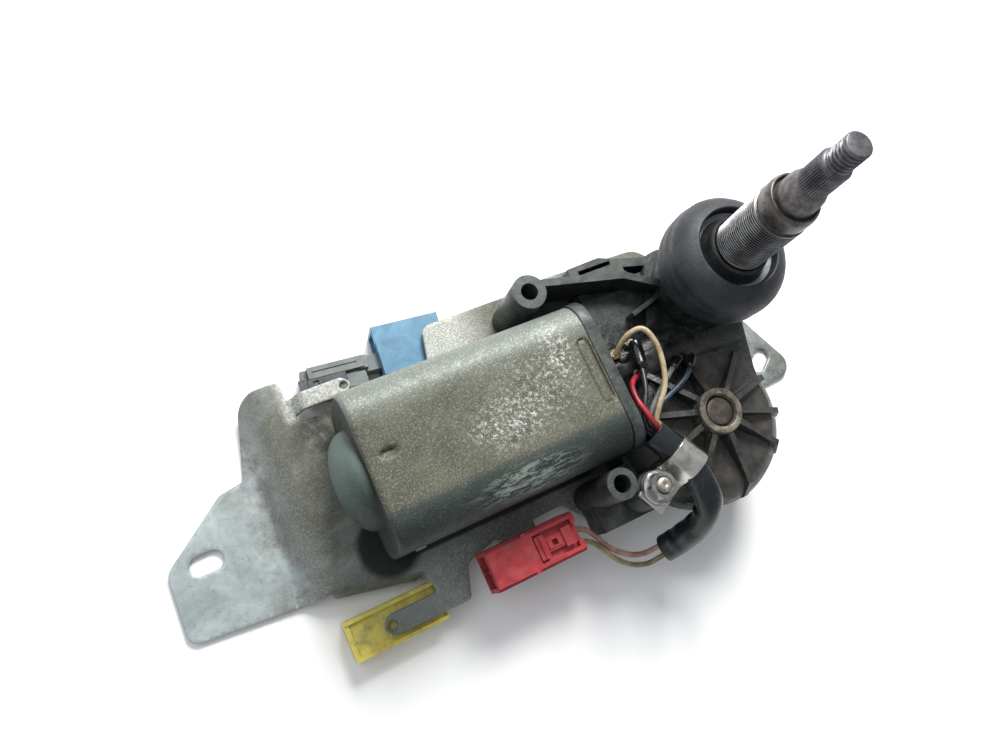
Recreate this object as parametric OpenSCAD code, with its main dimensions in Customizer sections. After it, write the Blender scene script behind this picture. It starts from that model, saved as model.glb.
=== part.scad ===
// Rear wiper motor on its sheet steel bracket: flat-sided can motor, worm gearbox,
// oscillating spindle with threaded sleeve and rubber grommet, harness and connectors.
// Coordinates are laid out from the spindle axis, with z = 0 under the bracket ears;
// centred() then moves the whole part so that its origin is bottom centre.

/* [Spindle] */
// Height of the spindle tip over the underside of the bracket ears
tip_z = 130; // [126:1:136]
// Radius of the arm nut thread, M8
tip_thread_r = 4; // [3:0.5:4.5]
// Length of the arm nut thread
tip_thread_l = 8.5; // [6:0.5:10]
// Radius of the knurled arm seat
knurl_r = 5.2; // [4.8:0.1:5.6]
// Length of the knurled arm seat
knurl_l = 11; // [8:0.5:12]
// Radius of the spindle shaft in its bushes
spindle_r = 6; // [5.8:0.1:6.4]
// Radius of the panel nut thread on the sleeve, M18 x 1
sleeve_r = 9; // [9:0.5:10]
// Height of the sleeve's top end
sleeve_top = 102.5; // [98:0.5:106]
// Length of the sleeve's panel nut thread
sleeve_thread_l = 30.5; // [24:0.5:34]

/* [Motor] */
// Width of the flat-sided motor can
can_w = 53; // [52:0.5:55]
// Height of the motor can
can_h = 38; // [37:0.5:39]
// Length of the motor can's straight part
can_l = 83; // [81:1:84]
// Corner radius of the can's section
can_corner = 10; // [8:0.5:11]
// Wall of the can
can_wall = 1.6; // [1.2:0.1:2]

/* [Gearbox] */
// Worm wheel centre from the spindle axis, along X
wheel_x = -17.5; // [-18.5:0.5:-16.5]
// Worm wheel centre from the spindle axis, along Y
wheel_y = -45; // [-45:0.5:-44]
// Radius of the gear case
case_r = 30.5; // [30:0.5:31]
// Tip radius of the worm wheel
wheel_tip_r = 21.9; // [21:0.1:21.9]
// Teeth on the worm wheel
wheel_teeth = 48; // [40:1:52]
// Crank radius of the link pin on the worm wheel
crank_r = 9; // [8:0.5:9.5]
// Length of the spindle lever
lever_r = 13; // [12:0.5:13.5]

/* [Bracket] */
// Thickness of the bracket sheet
sheet = 2; // [1.5:0.1:2.2]
// Height of the raised platform's top face
platform_z = 11; // [11:0.5:12]
// Length of the ear slots, end to end
slot_l = 11; // [9:0.5:12]
// Width of the ear slots
slot_w = 6.4; // [6:0.1:7]
// Spacing of the two tall fixing bosses
boss_pitch = 70; // [69:0.5:71]
// Radius of the fixing boss holes
boss_hole_r = 3; // [2.5:0.1:3.2]

/* [Hidden] */
$fn = 64;

// Heights and stations worked out from the driving sizes
motor_y = -18;                        // motor and worm axis, along Y
motor_z = platform_z + can_h / 2;     // motor and worm axis height
can_x1 = -52;                         // gearbox end of the can
can_x0 = can_x1 - can_l;              // bearing end of the can
dome_l = 9;                           // how far the bearing dome stands out
wheel = [wheel_x, wheel_y];
case_z0 = motor_z - 11;               // bottom rim of the gear case
case_rim_z = motor_z - 2;             // top of the case's straight rim
roof_z = motor_z + 6;                 // roof over the link
hub_z = motor_z + 13.5;               // top of the hub tower
hub_r = 8;
boss_z = 44;                          // top of the tall fixing bosses
boss_x = -62;
cover_t = 2;
run = 0.05;                           // radial clearance of a running fit
seat_z = sleeve_top - sleeve_thread_l;
shank_r = sleeve_r - 0.4;               // sleeve inside its tower
wheel_t = 8;                          // worm wheel width
link_z = case_z0 + 1;
link_t = 2;
// The lever stands square to the line from spindle to wheel when at rest
wheel_d = norm(wheel);
along = wheel / wheel_d;
square_to = [along[1], -along[0]];
lever_pin = lever_r * square_to;
crank_pin_xy = wheel + crank_r * square_to;
clip_at = [-37.5, -54.3];             // where the clip holds the harness
clip_turn = 28;                       // clip turned about the vertical
clip_z = 43;
stud_at = [-49.1, -59.1];
foot_screws = [[-34, 15], [-24.5, 15.5]];
harness_r = 5;
wire_r = 0.95;
red_at = [-108, -68];
red_size = [33, 14, 14];
red_z = 11.5;

// Centres the whole part over its own footprint
module centred() { translate([75.64, 25.47, 0]) children(); }

// ---- helpers ----
function unit(v) = v / norm(v);
// Corner i of outline p, rounded with radius r, as arc points
function corner(a, b, c, r, n = 5) =
    let (u = unit(a - b), w = unit(c - b), half = acos(u * w) / 2,
         m = b + unit(u + w) * r / sin(half),
         s = b + u * r / tan(half), e = b + w * r / tan(half),
         a0 = atan2(s[1] - m[1], s[0] - m[0]), a1 = atan2(e[1] - m[1], e[0] - m[0]),
         turn = a1 - a0 > 180 ? a1 - a0 - 360 : a1 - a0 < -180 ? a1 - a0 + 360 : a1 - a0)
    [for (k = [0:n]) m + r * [cos(a0 + turn * k / n), sin(a0 + turn * k / n)]];
// Outline with all corners rounded; each point is [x, y, radius]
function rounded(p) = [for (i = [0:len(p) - 1])
    let (a = p[(i + len(p) - 1) % len(p)], b = p[i], c = p[(i + 1) % len(p)])
    each b[2] > 0 ? corner([a[0], a[1]], [b[0], b[1]], [c[0], c[1]], b[2]) : [[b[0], b[1]]]];

module round_rect(w, h, r) {
    square([w - 2 * r, h], center = true);
    square([w, h - 2 * r], center = true);
    for (x = [-1, 1], y = [-1, 1]) translate([x * (w / 2 - r), y * (h / 2 - r)]) circle(r);
}
module slot_2d(l, w) {
    square([l - w, w], center = true);
    for (s = [-1, 1]) translate([s * (l - w) / 2, 0]) circle(w / 2);
}
// Upright block round two circles, with flat flanks between them
module waisted(c1, r1, c2, r2, z0, z1) {
    d = norm(c2 - c1);
    dir = atan2(c2[1] - c1[1], c2[0] - c1[0]);
    flank = acos((r1 - r2) / d);
    inset = 0.985;
    post(c1, z0, z1, r1);
    post(c2, z0, z1, r2);
    slab(z0, z1) polygon([for (s = [[c1, r1, 1], [c2, r2, 1], [c2, r2, -1], [c1, r1, -1]])
        s[0] + inset * s[1] * [cos(dir + s[2] * flank), sin(dir + s[2] * flank)]]);
}
module slab(z0, z1) { translate([0, 0, z0]) linear_extrude(z1 - z0) children(); }
module post(at, z0, z1, r) { translate([at[0], at[1], z0]) cylinder(h = z1 - z0, r = r); }
// Cylinder along the motor axis from x0 to x1
module along_x(x0, x1, r, r2 = -1) {
    translate([x0, motor_y, motor_z]) rotate([0, 90, 0])
        cylinder(h = x1 - x0, r1 = r, r2 = r2 < 0 ? r : r2);
}
// Extrudes a Y-Z section, drawn around the motor axis, from x0 to x1
module section_x(x0, x1) {
    translate([x0, motor_y, motor_z]) rotate([90, 0, 90]) linear_extrude(x1 - x0) children();
}
module block(x0, x1, y0, y1, z0, z1) { translate([x0, y0, z0]) cube([x1 - x0, y1 - y0, z1 - z0]); }

// ---- flexible leads: a tube swept along hand-placed points ----
function blend_at(p, i, t) =
    let (a = p[max(i - 1, 0)], b = p[i], c = p[i + 1], d = p[min(i + 2, len(p) - 1)])
    0.5 * (2 * b + (c - a) * t + (2 * a - 5 * b + 4 * c - d) * t * t + (3 * b - a - 3 * c + d) * t * t * t);
function eased(p, n) = [for (i = [0:len(p) - 2], k = [0:n - 1]) blend_at(p, i, k / n), p[len(p) - 1]];
function tangent(q, i) = unit(q[min(i + 1, len(q) - 1)] - q[max(i - 1, 0)]);
function side_on(v, t) = unit(v - (v * t) * t);
function sides(q, i, v) = i == len(q) ? [] :
    let (s = side_on(v, tangent(q, i))) [s, each sides(q, i + 1, s)];
module lead(p, r, n = 2, fn = 8) {
    q = eased(p, n);
    side = sides(q, 0, abs(tangent(q, 0)[2]) > 0.9 ? [1, 0, 0] : [0, 0, 1]);
    rings = len(q);
    verts = [for (i = [0:rings - 1], k = [0:fn - 1])
        q[i] + r * (cos(360 * k / fn) * side[i] + sin(360 * k / fn) * cross(tangent(q, i), side[i]))];
    faces = [[for (k = [0:fn - 1]) k], [for (k = [fn - 1:-1:0]) (rings - 1) * fn + k],
        for (i = [0:rings - 2], k = [0:fn - 1])
            [i * fn + k, (i + 1) * fn + k, (i + 1) * fn + (k + 1) % fn, i * fn + (k + 1) % fn]];
    polyhedron(verts, faces, convexity = 6);
}
harness_route = [[-43.9, -42.3, 43.5], [-37.5, -54.3, 43], [-35.6, -61.5, 42.8], [-34.9, -68.5, 40.8],
    [-35.3, -73.2, 36], [-37.6, -76.8, 28.5], [-41.4, -79.2, 21], [-45.6, -80, 16]];
beige_route = [[-42, -13, 41], [-38, -9.5, 46.5], [-33, -10, 49.5], [-31.5, -18, 50], [-34.3, -28.8, 49],
    [-39.6, -35.6, 47.3], [-41.9, -38.9, 46], [-41.2, -41, 45.3]];
red_route = [[-37, -22, 39.8], [-42.6, -25, 43.2], [-45, -30.5, 46], [-44.4, -36.5, 47.2], [-43.7, -39.6, 46.9],
    [-42.8, -41.8, 46.4]];
grey_route = [[-19, -22.5, 39.4], [-27, -26, 42.5], [-35, -31, 43.8], [-41.2, -36.2, 43.2], [-42.6, -38.9, 42.6],
    [-41.6, -41, 42.3]];
blue_route = [[-14, -23, 39.8], [-22, -29.5, 43.4], [-32, -33.5, 41.6], [-41.5, -37, 41], [-44.3, -39.8, 41],
    [-43.6, -42, 40.9]];
black_route = [[-34, -11, 40.8], [-35.5, -18, 42.5], [-39.5, -28, 44.6], [-44.3, -35.5, 44.8], [-45.2, -40, 44.3],
    [-43.9, -42.3, 44]];
pink_route = [[-75, -60, 20], [-70, -63.2, 19.5], [-64.5, -71.3, 16.5], [-58, -76.5, 13.6], [-52.5, -78.6, 12.4],
    [-48.3, -78.8, 13.7], [-46.2, -78.3, 16.2]];
olive_route = [[-75, -64.5, 20], [-70, -67.5, 19], [-64, -75.3, 15.5], [-58, -80.2, 11.9], [-52, -82.6, 11],
    [-47.2, -82.4, 12.6], [-44.7, -81.7, 15.5]];

// ---- bracket ----
// Side view of the folded sheet, drawn in x and z
module folded_sheet() {
    top = [[-205, sheet], [-164.5, sheet], [-155, platform_z], [14, platform_z], [24, sheet], [60, sheet]];
    polygon([each top, for (i = [len(top) - 1:-1:0]) top[i] - [0, sheet]]);
}
bracket_outline = [[-199.5, -18.5, 5], [-176.6, -1, 6], [-168, 0.5, 1.5], [-160.5, 26.5, 8], [-146, 26.5, 2],
    [-146, 11, 2], [-100, 11, 2], [-94.6, 8, 0], [-41.5, 8, 0], [-41.5, 29.5, 3], [2, 28, 8], [26, 2, 6],
    [39, -13.8, 4], [52.4, -42, 6], [24, -43, 3], [0, -62, 10], [-40, -67, 4], [-58, -67, 4], [-72, -51.3, 4],
    [-97, -52, 6], [-111, -55.5, 4], [-114.5, -66.5, 2], [-141.5, -66.5, 0], [-141.5, -59.5, 0],
    [-124, -59.5, 1], [-126, -51.5, 2], [-155, -45.5, 3], [-162, -46, 3], [-200.5, -42.3, 4]];
module mounting_bracket() {
    tongue_y = -63;
    color("#b9c2c2") difference() {
        union() {
            intersection() {
                translate([0, 60, 0]) rotate([90, 0, 0]) linear_extrude(160) folded_sheet();
                linear_extrude(20) polygon(rounded(bracket_outline));
            }
            // round end of the near connector tongue
            slab(platform_z - sheet, platform_z) translate([-141.5, tongue_y]) circle(3.5);
            // far tab, one step above the platform
            block(-97, -44, 7, 9, platform_z - sheet, platform_z + 4);
            slab(platform_z + 2, platform_z + 4)
                polygon(rounded([[-97, 7, 0], [-93, 26.5, 4], [-44, 26.5, 4], [-44, 7, 0]]));
            // far connector tongue, stepped up beside the notch
            block(-147.5, -146, 11.5, 18.5, platform_z - sheet, platform_z + 5);
            slab(platform_z + 3.5, platform_z + 5) {
                translate([-135.5, 15]) square([24, 7], center = true);
                translate([-123.5, 15]) circle(3.5);
            }
            // seat tongue under the red connector
            block(-98, -84, -64, -51, platform_z - 1.5, platform_z + 0.5);
            // turned-down edge along the near side of the platform
            translate([-154, -45.9, platform_z - 7]) rotate([0, 0, -11.7]) cube([26, 1.6, 5.5]);
            block(-146, -100, 9.4, 11, platform_z - 7, platform_z - 1);
        }
        translate([-187.4, -20, -1]) linear_extrude(4) slot_2d(slot_l, slot_w);
        translate([37.7, -32.4, -1]) rotate([0, 0, 35]) linear_extrude(4) slot_2d(slot_l, slot_w);
        post([-141.5, tongue_y], 0, 20, 1.5);
        post([-123.5, 15], 0, 20, 1.6);
        for (s = [-1, 1]) post([boss_x, motor_y + s * boss_pitch / 2], 0, 20, boss_hole_r);
        post(stud_at, 0, 20, 3);
        for (at = foot_screws) post(at, 0, 20, 2);
    }
}

// ---- motor ----
module motor_can() {
    color("#6f7468") difference() {
        union() {
            section_x(can_x0, can_x1) round_rect(can_w, can_h, can_corner);
            along_x(can_x0 - dome_l + 3, can_x0, 9, 15);
            along_x(can_x0 - dome_l, can_x0 - dome_l + 3, 7, 9);
        }
        section_x(can_x0 + can_wall, can_x1 + 1)
            round_rect(can_w - 2 * can_wall, can_h - 2 * can_wall, can_corner - can_wall);
        along_x(can_x0 - dome_l + 2, can_x0 + 3, 6);
        // lanced dent, small vent and square hole
        translate([-126.8, -16, motor_z + can_h / 2]) sphere(1.6);
        translate([-90.6, -27.7, motor_z + can_h / 2]) sphere(1);
        block(-129, -125.5, motor_y - can_w / 2 - 1, motor_y - can_w / 2 + 2.5, motor_z + 4, motor_z + 7.5);
    }
}
module field_magnets() {
    color("#3c3f42") for (s = [-1, 1]) intersection() {
        difference() { along_x(-126, -76, 24.6); along_x(-127, -75, 16.6); }
        translate([-127, motor_y + s * 20 - 10, motor_z - 13]) cube([52, 20, 26]);
    }
}
module rear_bearing_bush() {
    color("#9b8452") difference() {
        along_x(can_x0 - dome_l + 2.6, can_x0, 6);
        along_x(can_x0 - dome_l + 2, can_x0 + 1, 3 + run);
    }
}
brush_x0 = -68;
brush_x1 = -62;
brush_half = 3;
module brush_plate() {
    color("#2b2c2d") difference() {
        union() {
            section_x(can_x1 - 3, can_x1)
                round_rect(can_w - 2 * can_wall - 0.2, can_h - 2 * can_wall - 0.2, can_corner - can_wall);
            for (s = [-1, 1]) translate([-70, motor_y + s * 16 - 6.5, motor_z - 5]) cube([16, 13, 10]);
        }
        along_x(-80, 0, 5);
        for (s = [-1, 1]) translate([brush_x0 - 0.1, motor_y + s * 16 - 8, motor_z - brush_half - 0.1])
            cube([6.2, 16, 2 * brush_half + 0.2]);
    }
}
module carbon_brushes() {
    color("#1d1d1e") for (s = [-1, 1])
        translate([brush_x0, motor_y + s * 12.6 - 4.4, motor_z - brush_half])
            cube([brush_x1 - brush_x0, 8.8, 2 * brush_half]);
}
module brush_springs() {
    wire = 0.35;
    color("silver") for (s = [-1, 1], k = [0:5])
        translate([(brush_x0 + brush_x1) / 2, motor_y + s * (17.35 + k * 0.66), motor_z])
            rotate([90, 0, 0]) rotate_extrude($fn = 24) translate([1.9, 0]) circle(wire, $fn = 16);
}

// ---- gearbox ----
rib_angles = [-86, -44, -18, 10, 38, 90, 126, 160, 196, 232];
module dome_profile() {
    polygon([[0, case_rim_z - 1], [case_r, case_rim_z - 1], [case_r, case_rim_z], [case_r - 1.6, case_rim_z + 4],
        [case_r - 4, case_rim_z + 6.6], [case_r - 6.4, roof_z + 0.6], [13, roof_z + 0.9], [0, roof_z + 1]]);
}
module case_block(z0, z1, spindle_side, wheel_side) { waisted([0, 0], spindle_side, wheel, wheel_side, z0, z1); }
module gear_housing() {
    wall = 2.4;
    color("#3a3936") difference() {
        union() {
            case_block(case_z0, case_rim_z, 20, case_r);
            case_block(case_rim_z - 1, roof_z, 18, 23);
            translate(wheel) rotate_extrude() dome_profile();
            post(wheel, roof_z, hub_z, hub_r);
            // radial ribs from the hub to the rim
            translate(wheel) for (a = rib_angles) rotate([0, 0, a])
                translate([0, 1, 0]) rotate([90, 0, 0]) linear_extrude(2)
                    polygon([[6, roof_z - 1], [case_r - 6.5, roof_z - 1], [case_r - 1.5, case_rim_z - 1],
                        [case_r - 0.1, case_rim_z - 1], [case_r - 0.1, case_rim_z + 2.5], [case_r - 4, roof_z + 2],
                        [9, hub_z - 0.8], [6, hub_z - 0.8]]);
            // spindle tower
            post([0, 0], case_rim_z, roof_z + 10, 15.5);
            post([0, 0], roof_z + 9, seat_z - 2, 10.6);
            // worm tunnel and its end cap
            along_x(-46, 9, 9.2);
            // end wall against the motor
            section_x(can_x1, can_x1 + 4) round_rect(can_w + 1, can_h, can_corner);
            // floor of the lead space and its walls
            block(can_x1 + 1, -20, -44, 12, case_z0 + 1, case_z0 + 5);
            block(can_x1 + 1, -14, -9.5, 9, case_z0 + 2, roof_z - 2);
            translate([-28, -3, case_z0 + 2]) rotate([0, 0, 14]) cube([15, 1.6, roof_z + 4 - case_z0 - 2]);
            block(can_x1 + 1, -30, -45, -40, case_z0 + 2, roof_z - 4);
            // strengthening wall from the far boss to the spindle tower
            translate([boss_x, 20.1, case_z0 + 4]) rotate([0, 0, -13.5])
                translate([3, -1.3, 0]) cube([35, 2.6, boss_z - case_z0 - 5]);
            translate([-26.6, 11.6, case_z0 + 4]) rotate([0, 0, -32])
                translate([0, -1.3, 0]) cube([20, 2.6, boss_z - case_z0 - 5]);
            // far foot with pockets
            slab(platform_z, motor_z) polygon([[-39.5, 8], [-38.5, 23.8], [-25, 24.2], [-20, 22], [-4, 17.5],
                [2, 12], [2, 8]]);
            // tall fixing bosses and their arms
            for (s = [-1, 1]) post([boss_x, motor_y + s * boss_pitch / 2],
                platform_z + 2 + 2 * s, boss_z, 6 - (1 - s) * 0.4);
            block(boss_x, can_x1 + 10, 11, 19, platform_z + 4.5, case_z0 + 7);
            block(boss_x, can_x1 + 14, -57, -47.5, case_z0 - 6, case_z0 + 7);
            block(can_x1 + 2, can_x1 + 14, -50, -40, case_z0 - 6, case_z0 + 7);
            // boss of the clip stud and the foot round it
            post(stud_at, platform_z, 37, 6.2);
            block(-66, -36, -66, -54, platform_z, case_z0 + 4);
        }
        // link and wheel space, open below
        case_block(case_z0 - 1, roof_z - wall, 17.5, 20);
        case_block(case_z0 - 1, case_rim_z, 17.5, case_r - wall);
        post(wheel, case_z0 - 1, motor_z + wheel_t / 2 + 0.6, 23.2);
        post([0, 0], roof_z - wall - 0.5, seat_z, shank_r);
        post(wheel, motor_z, hub_z + 1, 4.6);
        post(wheel, hub_z - 3, hub_z + 1, hub_r - 2.4);
        // room for the bottom cover between the feet
        case_block(case_z0 - 6, case_z0, 19.6, case_r - 0.4);
        // saddle for the harness and its clip
        at_clip() rotate([90, 0, 0]) cylinder(h = 12, r = harness_r + 1.5, center = true);
        at_clip() translate([-19, -5.3, -6.15]) cube([18, 10.6, 6.3]);
        lead(harness_route, harness_r + 0.4, 2, 12);
        // worm and shaft passage
        along_x(-36, 2, 6);
        along_x(2, 7, 5);
        along_x(-60, -30, 3.6);
        along_x(can_x1 - 1, can_x1 + 2, 8);
        // pockets of the far foot
        block(-35, -21.5, 20.2, 21.8, motor_z - 9, motor_z + 1);
        slab(motor_z - 9, motor_z + 1) polygon([[-17.5, 13.6], [-17.5, 17.8], [-6, 14.7], [-6, 13.6]]);
        for (at = foot_screws) post(at, platform_z - 1, platform_z + 12, 1.5);
        for (s = [-1, 1]) post([boss_x, motor_y + s * boss_pitch / 2], 0, 60, boss_hole_r);
        post(stud_at, 0, 60, 2.5);
        cover_holes(1.2);
    }
}
cover_screw_at = [for (a = [-150, -75, 0]) wheel + (case_r - 4.6) * [cos(a), sin(a)]];
module cover_holes(r) {
    for (at = cover_screw_at) post(at, case_z0 - 3, case_z0 + 5, r);
}
module housing_cover() {
    color("#4a4a48") difference() {
        case_block(case_z0 - cover_t, case_z0, 19.5, case_r - 0.5);
        cover_holes(1.6);
        post([0, 0], 0, 40, 3);
    }
}
module cover_screws() {
    color("silver") for (at = cover_screw_at) {
        post(at, case_z0 - cover_t - 1.6, case_z0 - cover_t, 2.7);
        post(at, case_z0 - cover_t - 0.1, case_z0 + 4, 1.2);
    }
}
module bracket_screws() {
    color("silver") for (at = foot_screws) {
        post(at, platform_z - sheet - 3, platform_z - sheet, 3.6);
        post(at, platform_z - sheet - 0.1, platform_z + 10, 1.5);
    }
}
module front_bearing_bush() {
    color("#9b8452") difference() { along_x(2, 7, 5); along_x(0, 8, 3 + run); }
}
module hub_ring() {
    color("#8a857b") translate([wheel[0], wheel[1], hub_z]) difference() {
        cylinder(h = 1.5, r = hub_r);
        translate([0, 0, -1]) cylinder(h = 4, r = hub_r - 2.4);
    }
}
module wheel_axle() {
    color("#4b4a48") post(wheel, link_z + link_t + 0.4, hub_z + 0.5, 4.6);
}
module park_contacts() {
    color("#b08d4a") for (k = [0, 1])
        translate([wheel[0] - 3 - k * 5, wheel[1] - 26.5, motor_z - 8]) cube([2.4, 12 + k * 3, 0.5]);
}
module motor_terminals() {
    color("#8d7a58") {
        block(-45, -41, -14.2, -11.8, roof_z + 0.5, roof_z + 4.5);
        block(-36, -32, -12, -10, roof_z, roof_z + 3.5);
    }
}

// ---- spindle ----
module spindle_sleeve() {
    color("#a9abad") difference() {
        union() {
            post([0, 0], roof_z - 2.4, seat_z, shank_r);
            post([0, 0], seat_z, sleeve_top - 1, sleeve_r);
            translate([0, 0, sleeve_top - 1]) cylinder(h = 1, r1 = sleeve_r, r2 = sleeve_r - 1);
        }
        post([0, 0], 0, 200, spindle_r + 1.2);
    }
}
module bush_ring(z0, z1) {
    difference() { post([0, 0], z0, z1, spindle_r + 1.2); post([0, 0], z0 - 1, z1 + 1, spindle_r + run); }
}
module spindle_bushes() { color("#9b8452") { bush_ring(roof_z - 2.4, roof_z + 14); bush_ring(84, 99); } }
module spindle_seal() { color("#222426") bush_ring(99, 101.5); }
module rubber_grommet() {
    low = [13, roof_z + 21];
    high = [14.4, roof_z + 29.5];
    color("#33363b") rotate_extrude() difference() {
        union() {
            translate(low) circle(9.3);
            translate(high) circle(5.4);
            translate([10.6, low[1] - 9]) square([7, 18]);
        }
        square([10.6, 200]);
        translate([0, low[1] + 6]) square([14.4, 30]);
    }
}
module output_spindle() {
    knurl_z = tip_z - tip_thread_l - knurl_l;
    color("#5a5c60") {
        post([0, 0], link_z + link_t + 0.5, knurl_z - 2, spindle_r);
        translate([0, 0, knurl_z - 2]) cylinder(h = 2, r1 = spindle_r, r2 = knurl_r - 0.3);
        post([0, 0], knurl_z, tip_z - tip_thread_l - 1, knurl_r);
        translate([0, 0, tip_z - tip_thread_l - 1]) cylinder(h = 1, r1 = knurl_r, r2 = tip_thread_r);
        post([0, 0], tip_z - tip_thread_l, tip_z - 0.8, tip_thread_r);
        translate([0, 0, tip_z - 0.8]) cylinder(h = 0.8, r1 = tip_thread_r, r2 = tip_thread_r - 0.8);
    }
}
lever_z = link_z + link_t + 1;
module spindle_lever() {
    color("#77797b") difference() {
        waisted([0, 0], 10, lever_pin, 3.6, lever_z, lever_z + 4);
        post([0, 0], 0, 60, spindle_r);
        post(lever_pin, 0, 60, 2);
    }
}
module link_pin() {
    color("#8f9092") post(lever_pin, link_z - 0.4, lever_z + 4, 2);
}
module connecting_link() {
    color("#8f9092") difference() {
        waisted(lever_pin, 3.8, crank_pin_xy, 4.2, link_z, link_z + link_t);
        post(lever_pin, 0, 60, 2 + run);
        post(crank_pin_xy, 0, 60, 2.3);
    }
}

// ---- moving gear train ----
module armature_shaft() {
    color("#9a9c9e") { along_x(can_x0 - dome_l + 3, 6.5, 3); }
}
module armature_core() {
    color("#55524d") difference() { along_x(-121, -83, 15.8); along_x(-122, -82, 3); armature_slots(); }
}
module armature_slots() {
    for (a = [0:36:324]) translate([0, motor_y, motor_z]) rotate([a, 0, 0])
        translate([-122, -1, 11]) cube([40, 2, 6]);
}
module armature_windings() {
    color("#a5592c") difference() {
        union() { along_x(-127, -121, 13.4); along_x(-83, -76, 13.4); }
        along_x(-130, -70, 3);
    }
}
module commutator() {
    color("#b0703a") difference() { along_x(-70, -60, 8); along_x(-71, -59, 3); }
}
module worm() {
    pitch = 3;
    color("#8b8d90") difference() {
        translate([0, motor_y, motor_z]) rotate([0, 90, 0]) rotate_extrude() difference() {
            translate([0, -31]) square([5, 27]);
            for (k = [0:8]) translate([5.6, -29.5 + k * pitch]) circle(1.7, $fn = 6);
        }
        along_x(-40, 0, 3);
    }
}
module worm_wheel() {
    tooth = 360 / wheel_teeth;
    root_r = wheel_tip_r - 1.4;
    color("#d8d2c0") translate([wheel[0], wheel[1], motor_z - wheel_t / 2]) difference() {
        linear_extrude(wheel_t) polygon([for (k = [0:wheel_teeth - 1], p = [[0, root_r], [0.3, wheel_tip_r],
            [0.55, wheel_tip_r], [0.85, root_r]])
            p[1] * [cos((k + p[0]) * tooth), sin((k + p[0]) * tooth)]]);
        translate([0, 0, -1]) cylinder(h = wheel_t + 2, r = 4.6 + run);
        translate([0, 0, wheel_t - 1.5]) difference() { cylinder(h = 3, r = 18.5); cylinder(h = 3, r = 8); }
        translate([crank_r * square_to[0], crank_r * square_to[1], -1]) cylinder(h = 5, r = 2);
    }
}
module crank_pin() {
    color("#8f9092") post(crank_pin_xy, link_z + link_t + 0.3, motor_z - wheel_t / 2 + 4, 2);
}
module park_disc() {
    color("#b08d4a") difference() {
        translate([wheel[0], wheel[1], motor_z - wheel_t / 2 - 0.8]) difference() {
            cylinder(h = 0.8, r = 19);
            translate([0, 0, -1]) cylinder(h = 3, r = 12.5);
        }
        translate([wheel[0] + 12, wheel[1] - 2.5, 0]) cube([10, 5, 60]);
    }
}

// ---- harness ----
module at_clip() { translate([clip_at[0], clip_at[1], clip_z]) rotate([0, 0, clip_turn]) children(); }
module harness_clip() {
    ring_r = harness_r + 1.1;
    color("#c9cac8") difference() {
        at_clip() difference() {
            union() {
                translate([0, 5, 0]) rotate([90, 0, 0]) cylinder(h = 10, r = ring_r);
                translate([-18.5, -5, -6]) cube([16.5, 10, 2]);
            }
            translate([0, 6, 0]) rotate([90, 0, 0]) cylinder(h = 12, r = harness_r + 0.1);
        }
        post(stud_at, 0, 60, 2.6);
    }
}
module clip_stud() { color("#b5a88c") post(stud_at, platform_z - sheet - 2.5, 45.5, 2.5); }
module clip_washer() {
    color("#c2c3c2") difference() { post(stud_at, clip_z - 4, clip_z - 3, 6); post(stud_at, 0, 60, 2.6); }
}
module clip_nut() {
    color("#cfd0ce") difference() {
        translate([stud_at[0], stud_at[1], clip_z - 3]) cylinder(h = 4.4, r = 5, $fn = 6);
        post(stud_at, 0, 60, 2.5);
    }
}
module harness_sleeve() { color("#1f2326") lead(harness_route, harness_r, 2, 12); }
module beige_wire() { color("#b9a27e") lead(beige_route, wire_r); }
module red_wire() { color("#b7242f") lead(red_route, wire_r); }
module grey_wire() { color("#6c6f70") lead(grey_route, wire_r); }
module blue_wire() { color("#3a4a5c") lead(blue_route, wire_r); }
module black_wire() { color("#202122") lead(black_route, wire_r); }
module pink_wire() { color("#9c7a72") lead(pink_route, wire_r); }
module olive_wire() { color("#7d7157") lead(olive_route, wire_r); }

// ---- connectors ----
module at_red() { translate([red_at[0], red_at[1], red_z]) children(); }
module red_connector() {
    color("#c23a45") at_red() difference() {
        cube(red_size);
        for (y = [1.5, 7.6]) translate([-1, y, 1.5]) cube([12, 4.9, 9]);
        translate([17, 2.5, 11.5]) cube([14, 9, 3]);
    }
}
module red_latch() {
    color("#b53440") at_red() {
        translate([17.4, 5.4, 11.5]) cube([13.2, 3.2, 3]);
        translate([17.4, 3, 11.5]) cube([4, 8, 2.2]);
    }
}
module yellow_connector() {
    color("#cdbf4e") difference() {
        translate([-156, -69, 0.6]) cube([32.5, 13.5, platform_z + 1.2]);
        // channel for the bracket tongue
        translate([-148, -67, platform_z - sheet - 0.1]) cube([30, 8, 6]);
        translate([-126.5, -60, platform_z - sheet - 0.1]) cube([4, 6, 6]);
        translate([-126, -66, 2]) cube([4, 7.5, 5]);
    }
}
module blue_connector() {
    color("#5aa2c9") translate([-111, 15.5, 0.6]) rotate([0, 0, -6]) difference() {
        union() {
            cube([25, 16.5, platform_z + 0.6]);
            translate([0, 16, 0]) cube([25, 2.5, platform_z - 2]);
        }
        translate([-1, 3, 1.6]) cube([12, 10.5, 7.5]);
    }
}
module grey_connector() {
    color("#5f6666") translate([-139, 16.8, 1]) rotate([0, 0, -6]) {
        translate([0, 0, 0]) cube([22, 11, platform_z - 1]);
        translate([21, 5.2, 1.5]) cube([10, 5.8, 6]);
    }
}
module grey_latch_bar() {
    color("#565c5c") translate([-139, 16.8, platform_z]) rotate([0, 0, -6])
        translate([1, 4, 0]) cube([19, 4.5, 1.8]);
}
module connector_pins() {
    color("#a8977a") at_red() for (y = [3.9, 10]) translate([4, y - 0.9, 4]) cube([12, 1.8, 0.8]);
}

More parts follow.
